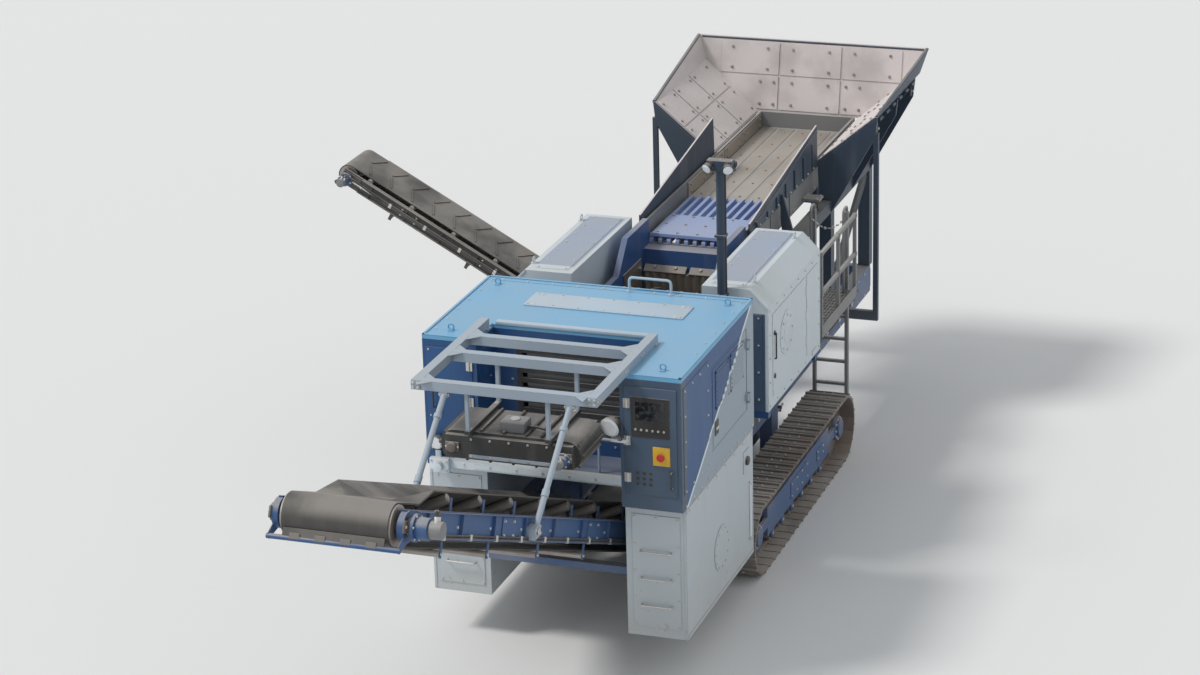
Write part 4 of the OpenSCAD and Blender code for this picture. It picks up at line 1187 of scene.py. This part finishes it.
class CRUSHER_OT_discharge_fittings(bpy.types.Operator):
    """Add flanges, stiffeners, splices, drive, scraper and return rollers to the discharge conveyor"""

    bl_idname = "crusher.discharge_fittings"
    bl_label = "Discharge conveyor fittings"

    def execute(self, context):
        run, side_x, returns = 7.95, 0.60, (3.0, 4.4, 5.8, 7.0)
        placing = sloping(math.atan2(3.15, 7.30), (0, -2.3, 0.6), "x")
        parts, heads = [], []
        for side in BOTH:
            face, out = side * side_x, (side, 0, 0)
            lip, cheek, arm = face + side * 0.035, side * 0.62, side * 0.612
            parts += blocks("blue_paint", (face, 0.25, 0.128, lip, 7.74, 0.138),
                            (face, 0.25, -0.104, lip, 7.74, -0.094), edge=0.002)
            parts += blocks("blue_paint", *[(face, y - 0.005, -0.094, face + side * 0.031, y + 0.005, 0.128)
                                            for y in spaced(0.7, 7.5, 0.85)], edge=0.001)
            for y in (2.85, 5.38):
                plate = face + side * 0.009
                parts.append(block((face, y - 0.17, -0.085), (plate, y + 0.17, 0.12), "blue_paint"))
                heads += facing(out, plate, (y - 0.125, y + 0.125), (-0.05, 0.085))
            heads += facing(out, face, [0.775 + 0.85 * k for k in range(9)], 0.01)
            # head bearing: foot, housing and cap
            foot = cheek + side * 0.022
            parts += [
                block((cheek, run - 0.16, -0.055), (foot, run + 0.16, 0.055), "cast_iron", 0.01, 2),
                stub((cheek, run, 0), (side * 0.05, 0, 0), 0.085, "cast_iron", 32, 0.008, 2),
                stub((cheek + side * 0.05, run, 0), (side * 0.012, 0, 0), 0.05, "zinc", 24, 0.003),
            ]
            heads += facing(out, foot, (run - 0.125, run + 0.125), 0)
            # arms of the scraper
            parts.append(flat(0, arm, [(run - 0.10, -0.09), (run + 0.05, -0.05), (run + 0.19, -0.19),
                                       (run + 0.15, -0.24)], 0.010, "blue_paint"))
            # edge angles that carry the return rollers
            parts += blocks("blue_paint", *[(side * 0.565, y - 0.022, -0.275, side * 0.577, y + 0.022, -0.10)
                                            for y in returns], edge=0.002)
            heads += facing(out, side * 0.577, returns, -0.235)
        parts += bolts(heads, 0.015)
        scraper = [(-0.48, run + 0.168, -0.118), (0.48, run + 0.168, -0.118), (0.48, run + 0.175, -0.20),
                   (-0.48, run + 0.175, -0.20)]
        parts.append(stub((-0.63, run + 0.165, -0.21), (1.26, 0, 0), 0.024, "blue_paint", 20))
        parts.append(sheet_metal(scraper, 0.014, "rubber"))
        parts += [block((x - 0.05, run + 0.158, -0.215), (x + 0.05, run + 0.19, -0.16), "cast_iron")
                  for x in (-0.36, -0.12, 0.12, 0.36)]
        # drive, and its two pipes down the frame
        parts += motor((0.672, run, 0.0), (1, 0, 0), 0.10, 0.27)
        for k in range(2):
            y, z = run - 0.03 + 0.06 * k, -0.066 - 0.026 * k
            path = [(0.86, y, 0.12), (0.86, y, 0.17), (0.80, run - 0.30, 0.10),
                    (0.622, run - 0.50, z), (0.622, 0.45, z)]
            parts.append(pipe(path, 0.011, "black_paint", bend=0.09))
        parts += clamps([(0.622, y, -0.079) for y in spaced(0.95, 7.1, 0.68)], (0.03, 0.045, 0.062))
        piece("discharge_frame_fittings", laid(parts, placing))

        rollers = [stub((-0.565, y, -0.234), (1.13, 0, 0), 0.032, "roller_steel") for y in returns]
        tail = laid(rollers, placing)
        for side in BOTH:
            x, screw = side * 0.60, side * 0.64
            tail += [
                block((x, 1.40, 0.52), (side * 0.622, 1.68, 0.68), "blue_paint"),
                stub((side * 0.622, 1.50, 0.60), (side * 0.043, 0, 0), 0.07, "cast_iron", 28, 0.006, 2),
                stub((screw, 1.56, 0.60), (0, 0.30, 0), 0.014, "zinc", 12),
                stub((screw, 1.72, 0.60), (0, 0.025, 0), 0.028, "zinc", 6),
                block((x, 1.69, 0.56), (side * 0.665, 1.705, 0.64), "blue_paint"),
                # rubber skirt of the loading zone with its clamping strip
                block((side * 0.505, -1.32, 0.83), (side * 0.515, 0.56, 1.10), "rubber"),
                block((side * 0.515, -1.34, 1.02), (side * 0.528, 0.58, 1.09), "zinc"),
            ]
        piece("discharge_tail_fittings", tail)
        strips = [block((-0.29, y, 0.199), (0.29, y + 0.09, 0.2035), "rubber", 0.001) for y in (2.3, 6.4)]
        piece("discharge_belt_splices", laid(strips, placing))
        return {"FINISHED"}


class CRUSHER_OT_side_conveyor_fittings(bpy.types.Operator):
    """Add flanges, ribs, drive, skirts and rollers to the folding side conveyor"""

    bl_idname = "crusher.side_conveyor_fittings"
    bl_label = "Side conveyor fittings"

    def execute(self, context):
        run, face, body, returns = 4.0, 0.395, "side_conveyor", (1.1, 2.2, 3.3)
        placing = sloping(math.radians(29), (-1.0, 1.2, 1.45), "y")
        parts, heads = [], []
        for side in BOTH:
            y, rib, plate, out = [side * (face + dy) for dy in (0, 0.027, 0.008, 0.03)]
            slot, way, cheek = side * (face + 0.012), (0, side, 0), side * 0.372
            parts += blocks("side_paint", (0.45, y, 0.078, run - 0.2, out, 0.088),
                            (0.45, y, -0.088, run - 0.2, out, -0.078), edge=0.002)
            parts += [block((x - 0.004, y, -0.078), (x + 0.004, rib, 0.078), "side_paint", 0.001)
                      for x in spaced(0.6, run - 0.35, 0.53)]
            for x in (1.95, 3.1):
                parts.append(block((x - 0.14, y, -0.06), (x + 0.14, plate, 0.06), "side_paint"))
                heads += facing(way, (x - 0.10, x + 0.10), plate, (-0.035, 0.035))
            # skirt's clamping strip, with the rubber that seals on the belt
            parts.append(block((0.02, side * 0.375, 0.13), (1.28, side * 0.383, 0.17), "zinc"))
            heads += facing(way, spaced(0.10, 1.20, 0.16), side * 0.383, 0.15)
            parts.append(block((0.02, side * 0.355, 0.128), (1.28, side * 0.365, 0.22), "rubber", 0.002))
            # head bearing with its slot plate and tension screw
            parts += [
                block((run - 0.19, y, -0.075), (run + 0.055, slot, 0.075), "side_paint"),
                block((run - 0.10, slot, -0.04), (run + 0.05, out, 0.04), "cast_iron", 0.008, 2),
                stub((run - 0.02, slot, 0), (0, side * 0.038, 0), 0.055, "cast_iron", 28, 0.006, 2),
                stub((run - 0.45, out, 0), (0.35, 0, 0), 0.010, "zinc", 12),
                stub((run - 0.24, out, 0), (0.02, 0, 0), 0.02, "zinc", 6),
            ]
            heads += facing(way, (run - 0.085, run + 0.035), out, 0)
            parts += blocks("side_paint", *[(x - 0.02, side * 0.367, -0.19, x + 0.02, side * 0.378, -0.085)
                                            for x in returns], edge=0.002)
            parts.append(flat(1, cheek, [(run - 0.02, -0.07), (run + 0.05, -0.05), (run + 0.12, -0.14),
                                         (run + 0.09, -0.17)], 0.010, "side_paint"))
        parts += bolts(heads, 0.012)
        parts += motor((run - 0.02, -(face + 0.05), 0), AHEAD, 0.065, 0.19)
        for k in range(2):
            x, z = run - 0.04 * k, 0.02 - 0.024 * k
            parts.append(pipe([(x, -0.585, 0.075), (x, -0.585, 0.115), (run - 0.25, -0.54, 0.08),
                               (run - 0.50, -0.44, z), (0.55, -0.44, z)], 0.010, "black_paint", bend=0.07))
        parts += clamps([(x, -0.437, 0.008) for x in spaced(0.85, run - 0.65, 0.53)], (0.04, 0.028, 0.056))
        top, foot = run + 0.098, run + 0.104
        parts.append(stub((run + 0.10, -0.36, -0.15), (0, 0.72, 0), 0.016, "side_paint", 16))
        parts.append(sheet_metal([(top, -0.31, -0.088), (top, 0.31, -0.088), (foot, 0.31, -0.145),
                                  (foot, -0.31, -0.145)], 0.010, "rubber"))
        piece("side_conveyor_fittings", laid(parts, placing), body)

        cleats = [flat(2, 0.134, [(x, side * 0.02), (x + 0.018, side * 0.02), (x - 0.092, side * 0.27),
                                  (x - 0.110, side * 0.27)], 0.012, "rubber", edge=0)
                  for x in spaced(1.45, run - 0.12, 0.30) for side in BOTH]
        rollers = [stub((x, -0.367, -0.152), (0, 0.734, 0), 0.022, "roller_steel", 20) for x in returns]
        piece("side_conveyor_cleats", laid(cleats, placing), body)
        piece("side_conveyor_return_rollers", laid(rollers, placing), body)
        return {"FINISHED"}


class CRUSHER_OT_magnet_fittings(bpy.types.Operator):
    """Add belt cleats, bearings, drive, terminal box and bolts to the magnet, and plates and pins to its
    frame
    """

    bl_idname = "crusher.magnet_fittings"
    bl_label = "Magnet fittings"

    def execute(self, context):
        self.magnet()
        self.carrying_frame()
        return {"FINISHED"}

    def magnet(self):
        x0, x1, mid_z, radius, flange = -0.62, 0.57, 2.80, 0.15, 0.14
        edge, rear = (corner.y for corner in node_box("overband_magnet"))
        low, top = mid_z - radius, mid_z + radius
        y0, y1 = edge + flange, rear - flange
        rows = [(x - 0.014, y0, top, x + 0.014, y1, top + 0.028) for x in (-0.34, -0.10, 0.14, 0.30)]
        rows += [(x - 0.014, y0, low - 0.022, x + 0.014, y1, low) for x in spaced(-0.50, 0.48, 0.24)]
        cleats = blocks("rubber", *rows, edge=0.005)
        for x, way in ((x0, -1), (x1, 1)):
            for a in (-0.75, 0.0, 0.75):
                out = Vector((way * math.cos(a), 0, math.sin(a)))
                foot, side = Vector((x, 0, mid_z)) + out * radius, Vector((-out.z, 0, out.x)) * 0.014
                corners = ((foot - side, y0), (foot + side, y0), (foot + side, y1), (foot - side, y1))
                cleats.append(sheet_metal([(c.x, y, c.z) for c, y in corners], 0.05, "rubber", edge=0))
        piece("magnet_belt_cleats", cleats)

        parts, heads = [], []
        for y, way in ((edge + 0.07, -1), (rear - 0.07, 1)):
            face, out = y + way * 0.02, (0, way, 0)
            for x in (x0, x1):
                parts.append(block((x - 0.075, y, mid_z - 0.05), (x + 0.075, face, mid_z + 0.05),
                                   "cast_iron", 0.01, 2))
                parts.append(stub((x, face, mid_z), (0, way * 0.035, 0), 0.05, "cast_iron", 28, 0.006, 2))
                heads += facing(out, (x - 0.062, x + 0.062), face, mid_z)
            heads += facing(out, spaced(-0.42, 0.38, 0.2), y, (mid_z - 0.09, mid_z + 0.09))
            parts.append(block((-0.45, y, mid_z - 0.11), (0.41, y + way * 0.006, mid_z - 0.07),
                               "frame_grey"))
        parts += motor((x1, edge + 0.015, mid_z), AHEAD, 0.06, 0.17)
        parts += [
            block((-0.16, -5.44, 2.951), (0.10, -5.22, 3.06), "machine_grey", 0.012, 3),
            stub((-0.03, -5.33, 3.06), (0, 0, 0.015), 0.05, "zinc"),
            pipe([(0.10, -5.33, 3.0), (0.20, -5.33, 3.0), (0.36, -5.50, 3.05), (0.42, -5.58, 3.2),
                  (0.42, -5.585, 3.42)], 0.014, "black_paint", bend=0.06),
        ]
        parts += [stub((x, y - 0.03, 2.985), (0, 0.06, 0), 0.026, "zinc", 16)
                  for x in (-0.43, 0.42) for y in (edge + 0.05, rear - 0.07)]
        piece("magnet_fittings", parts + bolts(heads, 0.012))

    def carrying_frame(self):
        low, high = node_box("magnet_frame")
        base, top, front = ROOF_TOP, high.z, low.y
        parts, heads = [], []
        for x, way in ((low.x, -1), (high.x, 1)):
            inner = x - way * 0.10
            parts.append(block((inner, front, base + 0.002), (x, front - 0.008, top - 0.002), "frame_grey"))
            heads += facing(AHEAD, (x - way * 0.025, x - way * 0.075), front - 0.008,
                            (base + 0.025, top - 0.025))
            for y in (-5.60, -4.75, -4.25):
                parts += [flat(2, top - 0.004, [(inner, y + dy * 0.05), (inner - way * 0.12, y + dy * 0.05),
                                                (inner, y + dy * 0.17)], 0.008, "frame_grey") for dy in BOTH]
                heads += facing((way, 0, 0), x, (y - 0.03, y + 0.03), base + 0.05)
            # foot plates on the roof
            parts.append(block((x - way * 0.13, -3.86, base), (x + way * 0.02, -3.76, base + 0.012),
                               "frame_grey"))
            heads += facing(UP, (x - way * 0.12, x), -3.81, base + 0.012)
        # pins, plates and collars of the stays
        down = Vector((0, -1.08, -0.871)).normalized()
        for side in BOTH:
            x = side * 0.66
            parts.append(stub((x - 0.055, -5.62, 3.37), (0.11, 0, 0), 0.024, "zinc", 16))
            parts.append(stub((side * 0.70, -6.70, 2.50), (side * 0.015, 0, 0), 0.034, "zinc", 6))
            heads += facing((side, 0, 0), side * 0.695, (-6.755, -6.645), (2.465, 2.535))
            collar = Vector((x, -5.80, 3.225))
            parts.append(stub(collar, down * 0.05, 0.040, "frame_grey"))
            parts.append(stub(collar + down * 0.70, down * 0.08, 0.038, "frame_grey"))
        piece("magnet_frame_fittings", parts + bolts(heads, 0.014))


class CRUSHER_OT_platform_fittings(bpy.types.Operator):
    """Add grating, treads, rail clamps, gate chain and kick plates to the service platform"""

    bl_idname = "crusher.platform_fittings"
    bl_label = "Platform fittings"

    def execute(self, context):
        (x0, y0, _), (x1, ladder, _) = node_box("service_platform")
        y1, z = ladder - 0.06, 2.0
        grating = blocks("zinc", *[(x, y0 + 0.01, z, x + 0.005, y1 - 0.01, z + 0.024)
                                   for x in spaced(x0 + 0.02, x1 - 0.06, 0.04)], edge=0)
        grating += [drum((x0 + 0.01, y, z + 0.02), (x1 - 0.05, y, z + 0.02), 0.004, "zinc", 8, 0)
                    for y in spaced(y0 + 0.05, y1 - 0.05, 0.1)]
        grating += blocks("zinc", *[(x0, y, z, x1 - 0.045, y + 0.005, z + 0.028)
                                    for y in (y0, y1 - 0.005)], edge=0)
        piece("platform_grating", grating)
        parts = []
        for y in (y0, (y0 + y1) / 2 - 0.02, y1 - 0.04):
            parts += [block((x1 - 0.046, y - 0.008, z + h - 0.006), (x1 + 0.006, y + 0.048, z + h + 0.046),
                            "machine_grey", 0.006, 2) for h in (0.48, 0.96)]
            parts.append(block((x1 - 0.055, y - 0.02, z), (x1 + 0.004, y + 0.06, z + 0.012),
                               "machine_grey"))
        # studded treads on the rungs
        for h in [0.50 + 0.29 * k for k in range(5)]:
            parts.append(block((x1 - 0.505, y1 + 0.008, h + 0.028), (x1 - 0.155, y1 + 0.052, h + 0.036),
                               "zinc"))
            parts += [stub((x, y1 + 0.03, h + 0.036), (0, 0, 0.005), 0.008, "zinc", 10, 0)
                      for x in spaced(x1 - 0.47, x1 - 0.19, 0.056)]
        # curved tops of the ladder's stiles, and a chain across the way in
        stile, post = y1 + 0.03, y1 - 0.12
        for x in (x1 - 0.53, x1 - 0.13):
            hoop = [(x, stile, z + 0.98), (x, stile, z + 1.07), (x, post, z + 1.07), (x, post, z + 0.03)]
            parts.append(pipe(hoop, 0.017, "machine_grey", bend=0.07))
        slack = [Vector((x1 - 0.53 + 0.40 * t / 8, post, z + 0.94 - 0.12 * math.sin(math.pi * t / 8)))
                 for t in range(9)]
        for k, (a, b) in enumerate(zip(slack, slack[1:])):
            middle, reach = (a + b) / 2, (b - a) * 0.36
            parts.append(drum(middle - reach, middle + reach, 0.006, "zinc", 8, 0))
            parts.append(ring(middle, REAR if k % 2 else (0, 0.6, 0.8), 0.014, 0.004, "zinc", 12, 6))
        parts += bolts(facing((-1, 0, 0), x1 - 0.012, spaced(y0 + 0.12, y1 - 0.12, 0.3), z + 0.06), 0.010)
        parts += bolts(facing((1, 0, 0), x0 + 0.06, (y0 + 0.19, y1 - 0.03), (1.24, 1.28)), 0.014)
        piece("platform_fittings", parts)
        return {"FINISHED"}


class CRUSHER_OT_crusher_fittings(bpy.types.Operator):
    """Add cheek liners, wedges, covers, grease lines and bolts to the jaw crusher"""

    bl_idname = "crusher.crusher_fittings"
    bl_label = "Jaw crusher fittings"

    def execute(self, context):
        parts, heads, chamber = [], [], 0.55
        for side in BOTH:
            x = side * chamber
            for z0, z1, edge in ((1.95, 2.42, -0.501), (2.44, 2.92, -0.50)):
                outline = [(0.14, z0), (0.14, z1), (edge, z1), (edge + 0.15, z0)]
                parts.append(flat(0, x - side * 0.006, outline, 0.012, "jaw_steel"))
                heads += facing((-side, 0, 0), x - side * 0.012, (0.06, edge + 0.24),
                                (z0 + 0.10, z1 - 0.10))
            # top flanges of the side plates
            parts.append(block((side * 0.545, -1.48, 3.0), (side * 0.665, -1.44, 3.012), "navy_paint"))
        parts += bolts(heads, 0.022, "roller_steel")
        # wedge bars over the fixed jaw
        for x0, x1 in ((-0.53, -0.02), (0.02, 0.53)):
            wedge = [(x0, 0.155, 2.755), (x1, 0.155, 2.755), (x1, 0.245, 2.815), (x0, 0.245, 2.815)]
            parts.append(sheet_metal(wedge, 0.03, "cast_iron", 0.004))
        square = (0, -0.55, 0.83)
        parts += bolts(facing(square, (-0.40, -0.15, 0.15, 0.40), 0.205, 2.80), 0.024, "roller_steel")
        # cover of the pitman with its bolts, grease lines and lifting eyes
        parts.append(block((-0.46, -1.16, 2.875), (0.46, -0.78, 2.889), "blue_paint", 0.004, 2))
        parts += frame_bolts((-0.43, -1.13, 2.889), (0.43, -0.81, 2.889), 2, 1, 0.17, 0.014)
        for x in (-0.3, 0.3):
            parts += lifting_eye((x, -0.97, 2.888), "blue_paint", REAR)
        for k in range(3):
            x, lift = -0.06 + 0.06 * k, 0.02 * k
            path = [(x, -0.97, 2.889), (x, -0.97, 2.95 + lift), (x, -1.30, 3.04 + lift),
                    (x, -1.46, 3.02), (x, -1.515, 2.90), (x, -1.515, 2.2)]
            parts.append(pipe(path, 0.009, "black_paint", bend=0.08))
        # front wall: ribs and grease block, seen in the gap behind the power pack
        parts += blocks("navy_paint", *[(x - 0.008, -1.56, 1.9, x + 0.008, -1.50, 2.96)
                                        for x in (-0.42, -0.14, 0.14, 0.42)])
        parts.append(block((-0.10, -1.535, 2.16), (0.10, -1.50, 2.34), "zinc", 0.004, 2))
        parts += bolts(facing(UP, spaced(-0.5, 0.5, 0.2), -1.47, 3.0), 0.016)
        piece("jaw_crusher_fittings", parts)

        # hoses that loop from the power pack to the crusher, and the grab rail behind the roof
        hoses = []
        for x, z, finish in ((0.20, 3.05, "black_paint"), (0.29, 2.95, "hatch_paint"),
                             (0.38, 2.85, "black_paint")):
            end = x + 0.08
            path = [(x, -2.19, z), (x, -2.05, z), (x + 0.04, -1.90, 1.715 + z / 2),
                    (end, -1.72, 3.15), (end, -1.60, 2.80), (end, -1.56, 2.3)]
            hoses.append(pipe(path, 0.021, finish, bend=0.12, sides=3))
            hoses.append(stub((x, -2.20, z), (0, 0.07, 0), 0.032, "zinc", 6))
        one, other, y, roof, rail = 0.15, 0.62, PACK_REAR - 0.10, ROOF_TOP, ROOF_TOP + 0.16
        hoses.append(pipe([(one, y, roof), (one, y, rail), (other, y, rail), (other, y, roof)], 0.016,
                          "hatch_paint"))
        hoses += [stub((x, y, roof), (0, 0, 0.012), 0.035, "hatch_paint", 20) for x in (one, other)]
        piece("crusher_hoses", hoses)
        return {"FINISHED"}


class CRUSHER_OT_chassis_fittings(bpy.types.Operator):
    """Add clamped pipes, lugs, towing eyes and covers to the chassis, and caps and hatches to the tanks"""

    bl_idname = "crusher.chassis_fittings"
    bl_label = "Chassis and tank fittings"

    def execute(self, context):
        parts, heads, along = [], [], spaced(-1.7, 4.2, 0.59)
        for side in BOTH:
            x, out = side * 0.866, (side, 0, 0)
            parts += [pipe([(x, -1.95, 1.165 - 0.035 * k), (x, 4.55 - 0.1 * k, 1.165 - 0.035 * k)], 0.012,
                           "black_paint") for k in range(3)]
            parts += clamps([(x, y, 1.13) for y in along], (0.03, 0.05, 0.115))
            heads += facing(out, side * 0.881, along, 1.13)
            # towing eye and rear lug
            parts.append(block((side * 0.70, 5.20, 1.00), (side * 0.85, 5.225, 1.25), "blue_paint"))
            parts.append(ring((side * 0.775, 5.25, 1.10), (1, 0, 0), 0.055, 0.017, "blue_paint", 24, 10))
            heads += facing(REAR, (side * 0.725, side * 0.825), 5.225, (1.04, 1.21))
            heads += facing(out, side * 0.85, spaced(2.5, 4.9, 0.3), (0.985, 1.265))
        piece("chassis_fittings", parts + bolts(heads, 0.014))

        self.tank("right_tank", 1)
        self.tank("left_tank", -1)
        # stops and plates at the ends of the front beam
        ends = [block((-1.42, -4.30, 1.93), (-1.20, -4.23, 2.09), "white_paint", 0.012, 2),
                stub((-1.31, -4.30, 2.01), (0, -0.06, 0), 0.055, "white_paint", 28, 0.008, 2),
                block((0.70, -4.29, 1.95), (0.82, -4.23, 2.07), "white_paint", 0.012, 2)]
        ends += bolts(facing(AHEAD, (-1.395, -1.225), -4.30, (1.955, 2.065)), 0.012)
        piece("front_beam_fittings", ends)
        return {"FINISHED"}

    def tank(self, name, side):
        (x0, front, foot), (x1, back, head) = node_box(name)
        x, y, z, rear = side * PACK_SIDE, (front + back) / 2, 1.05, back - 0.01
        rib, gauge, out, glass = x + side * 0.006, x + side * 0.012, (side, 0, 0), back - 0.14
        # round service cover, filler, sight glass and drain on the outer side
        parts = [
            stub((x, y, z), (side * 0.010, 0, 0), 0.25, "tank_white_and_shade", 48, 0.003),
            block((x, back - 0.36, 1.55), (x + side * 0.010, back - 0.16, 1.80), "tank_white_and_shade"),
            stub((x, back - 0.26, 1.68), (side * 0.035, 0, 0), 0.05, "black_paint", 28, 0.006, 2),
            stub((gauge, glass, 0.75), (0, 0, 0.60), 0.010, "lamp_glass", 12),
            stub((x, glass, 0.72), (side * 0.022, 0, 0), 0.016, "zinc", 6),
            stub((x, glass, 1.38), (side * 0.022, 0, 0), 0.016, "zinc", 6),
        ]
        parts += blocks("tank_white_and_shade", (x, front + 0.01, foot + 0.01, rib, rear, foot + 0.05),
                        (x, front + 0.01, head - 0.06, rib, rear, head - 0.01),
                        (x - side * 0.03, front, foot + 0.02, x, front - 0.006, head - 0.02))
        heads = circle(x + side * 0.010, y, z, 0.215, 12, side)
        heads += facing(out, rib, spaced(front + 0.08, back - 0.09, 0.3), head - 0.035)
        # front face: bolted panel with its steps
        middle, face = (x0 + x1) / 2, front - 0.008
        parts += panel(1, front, -0.008, (middle - 0.26, foot + 0.10), (middle + 0.26, head - 0.10),
                       "tank_white_and_shade", 0.3, (0.025, 0.03))
        parts += [grip((middle - 0.16, face, h), (middle + 0.16, face, h), AHEAD, "zinc", 0.011)
                  for h in (0.86, 1.16, 1.46)]
        piece(name + "_fittings", parts + bolts(heads, 0.012))


class CRUSHER_OT_engine_fittings(bpy.types.Operator):
    """Add covers, pulleys, manifold, filter clamps and hoses to the engine"""

    bl_idname = "crusher.engine_fittings"
    bl_label = "Engine fittings"

    def execute(self, context):
        top, parts = 2.90, []
        for y in [-3.24 + 0.15 * k for k in range(6)]:
            mid = y + 0.065
            parts.append(block((-0.30, y, top), (0.02, y + 0.13, top + 0.07), "machine_grey", 0.02, 3))
            parts += bolts(facing(UP, (-0.26, -0.02), mid, top + 0.07), 0.010)
            parts.append(pipe([(0.40, mid, 2.78), (0.46, mid, 2.78), (0.50, mid, 2.72)], 0.030,
                              "cast_iron", 0.04, 3))
        # manifold, pulleys and their belt
        parts.append(stub((0.52, -3.26, 2.70), (0, 0.90, 0), 0.045, "cast_iron", 24, 0.01, 2))
        for x, z, radius, wide, sides, edge, steps in (
                (-0.05, 2.45, 0.16, 0.06, 36, 0.006, 2), (-0.28, 2.72, 0.07, 0.05, 28, 0.005, 1),
                (0.22, 2.70, 0.08, 0.05, 28, 0.005, 1)):
            parts.append(stub((x, -3.40, z), (0, -wide, 0), radius, "cast_iron", sides, edge, steps))
        loop = [(-0.05, 2.30), (0.12, 2.38), (0.30, 2.70), (0.22, 2.785), (-0.28, 2.795), (-0.355, 2.72),
                (-0.20, 2.40), (-0.05, 2.30)]
        parts.append(pipe([(x, -3.43, z) for x, z in loop], 0.012, "rubber"))
        # air filter: clamps, cap and intake
        x, z = 0.65, 2.60
        parts += [ring((x, y, z), REAR, 0.183, 0.006, "zinc", 40, 6) for y in (-3.18, -2.95, -2.72)]
        parts += [stub((x, -3.30, z), (0, -0.03, 0), 0.15, "black_paint", 36, 0.01, 2),
                  stub((x, -2.60, z), (0, 0.08, 0), 0.09, "black_paint", 28, 0.01, 2),
                  pipe([(x, -2.54, z), (x, -2.42, z), (0.50, -2.38, 2.86), (0.30, -2.42, 3.0),
                        (0.10, -2.6, 2.99), (0.10, -2.6, 2.90)], 0.05, "rubber", bend=0.12, sides=4)]
        # side cover behind the door: oil filters and two hoses
        for y in (-3.05, -2.87, -2.69):
            parts += [stub((0.84, y, 2.30), (0, 0, -0.20), 0.055, "white_paint", 28, 0.012, 2),
                      stub((0.84, y, 2.30), (0, 0, 0.06), 0.045, "machine_grey", 20),
                      block((0.80, y - 0.05, 2.34), (0.86, y + 0.05, 2.40), "machine_grey", 0.006)]
        hoses = (
            ((0.80, -2.60, 2.35), (0.90, -2.60, 2.42), (1.00, -2.85, 2.20), (1.02, -3.1, 2.08),
             (1.02, -3.3, 2.06)),
            ((0.80, -2.75, 2.45), (0.93, -2.78, 2.47), (1.08, -2.95, 2.26), (1.10, -3.2, 2.08),
             (1.10, -3.4, 2.06)))
        parts += [pipe(path, 0.022, "rubber", bend=0.12, sides=3) for path in hoses]
        parts += frame_bolts((0.80, -3.16, 2.10), (0.80, -2.74, 2.47), 0, 1, 0.14, 0.010)
        piece("engine_fittings", parts)
        return {"FINISHED"}


STEPS = [
    CRUSHER_OT_stage, CRUSHER_OT_finishes, CRUSHER_OT_guard_fittings, CRUSHER_OT_pack_fittings,
    CRUSHER_OT_lights, CRUSHER_OT_hopper_fittings, CRUSHER_OT_feeder_fittings,
    CRUSHER_OT_undercarriage_fittings, CRUSHER_OT_discharge_fittings, CRUSHER_OT_side_conveyor_fittings,
    CRUSHER_OT_magnet_fittings, CRUSHER_OT_platform_fittings, CRUSHER_OT_crusher_fittings,
    CRUSHER_OT_chassis_fittings, CRUSHER_OT_engine_fittings,
]


class CRUSHER_PT_panel(bpy.types.Panel):
    """The steps that dress the machine, in order"""

    bl_idname = "CRUSHER_PT_panel"
    bl_label = "Jaw crusher"
    bl_space_type = "VIEW_3D"
    bl_region_type = "UI"
    bl_category = "Crusher"

    def draw(self, context):
        for step in STEPS:
            self.layout.operator(step.bl_idname)


def register():
    for kind in (LooksProperties, *STEPS, CRUSHER_PT_panel):
        bpy.utils.register_class(kind)
    bpy.types.Scene.crusher_looks = bpy.props.PointerProperty(type=LooksProperties)


def unregister():
    del bpy.types.Scene.crusher_looks
    for kind in (CRUSHER_PT_panel, *reversed(STEPS), LooksProperties):
        bpy.utils.unregister_class(kind)


def main():
    """Registers the classes and runs every step."""
    register()
    for step in STEPS:
        group, name = step.bl_idname.split(".")
        getattr(getattr(bpy.ops, group), name)()


if __name__ == "__main__":
    main()
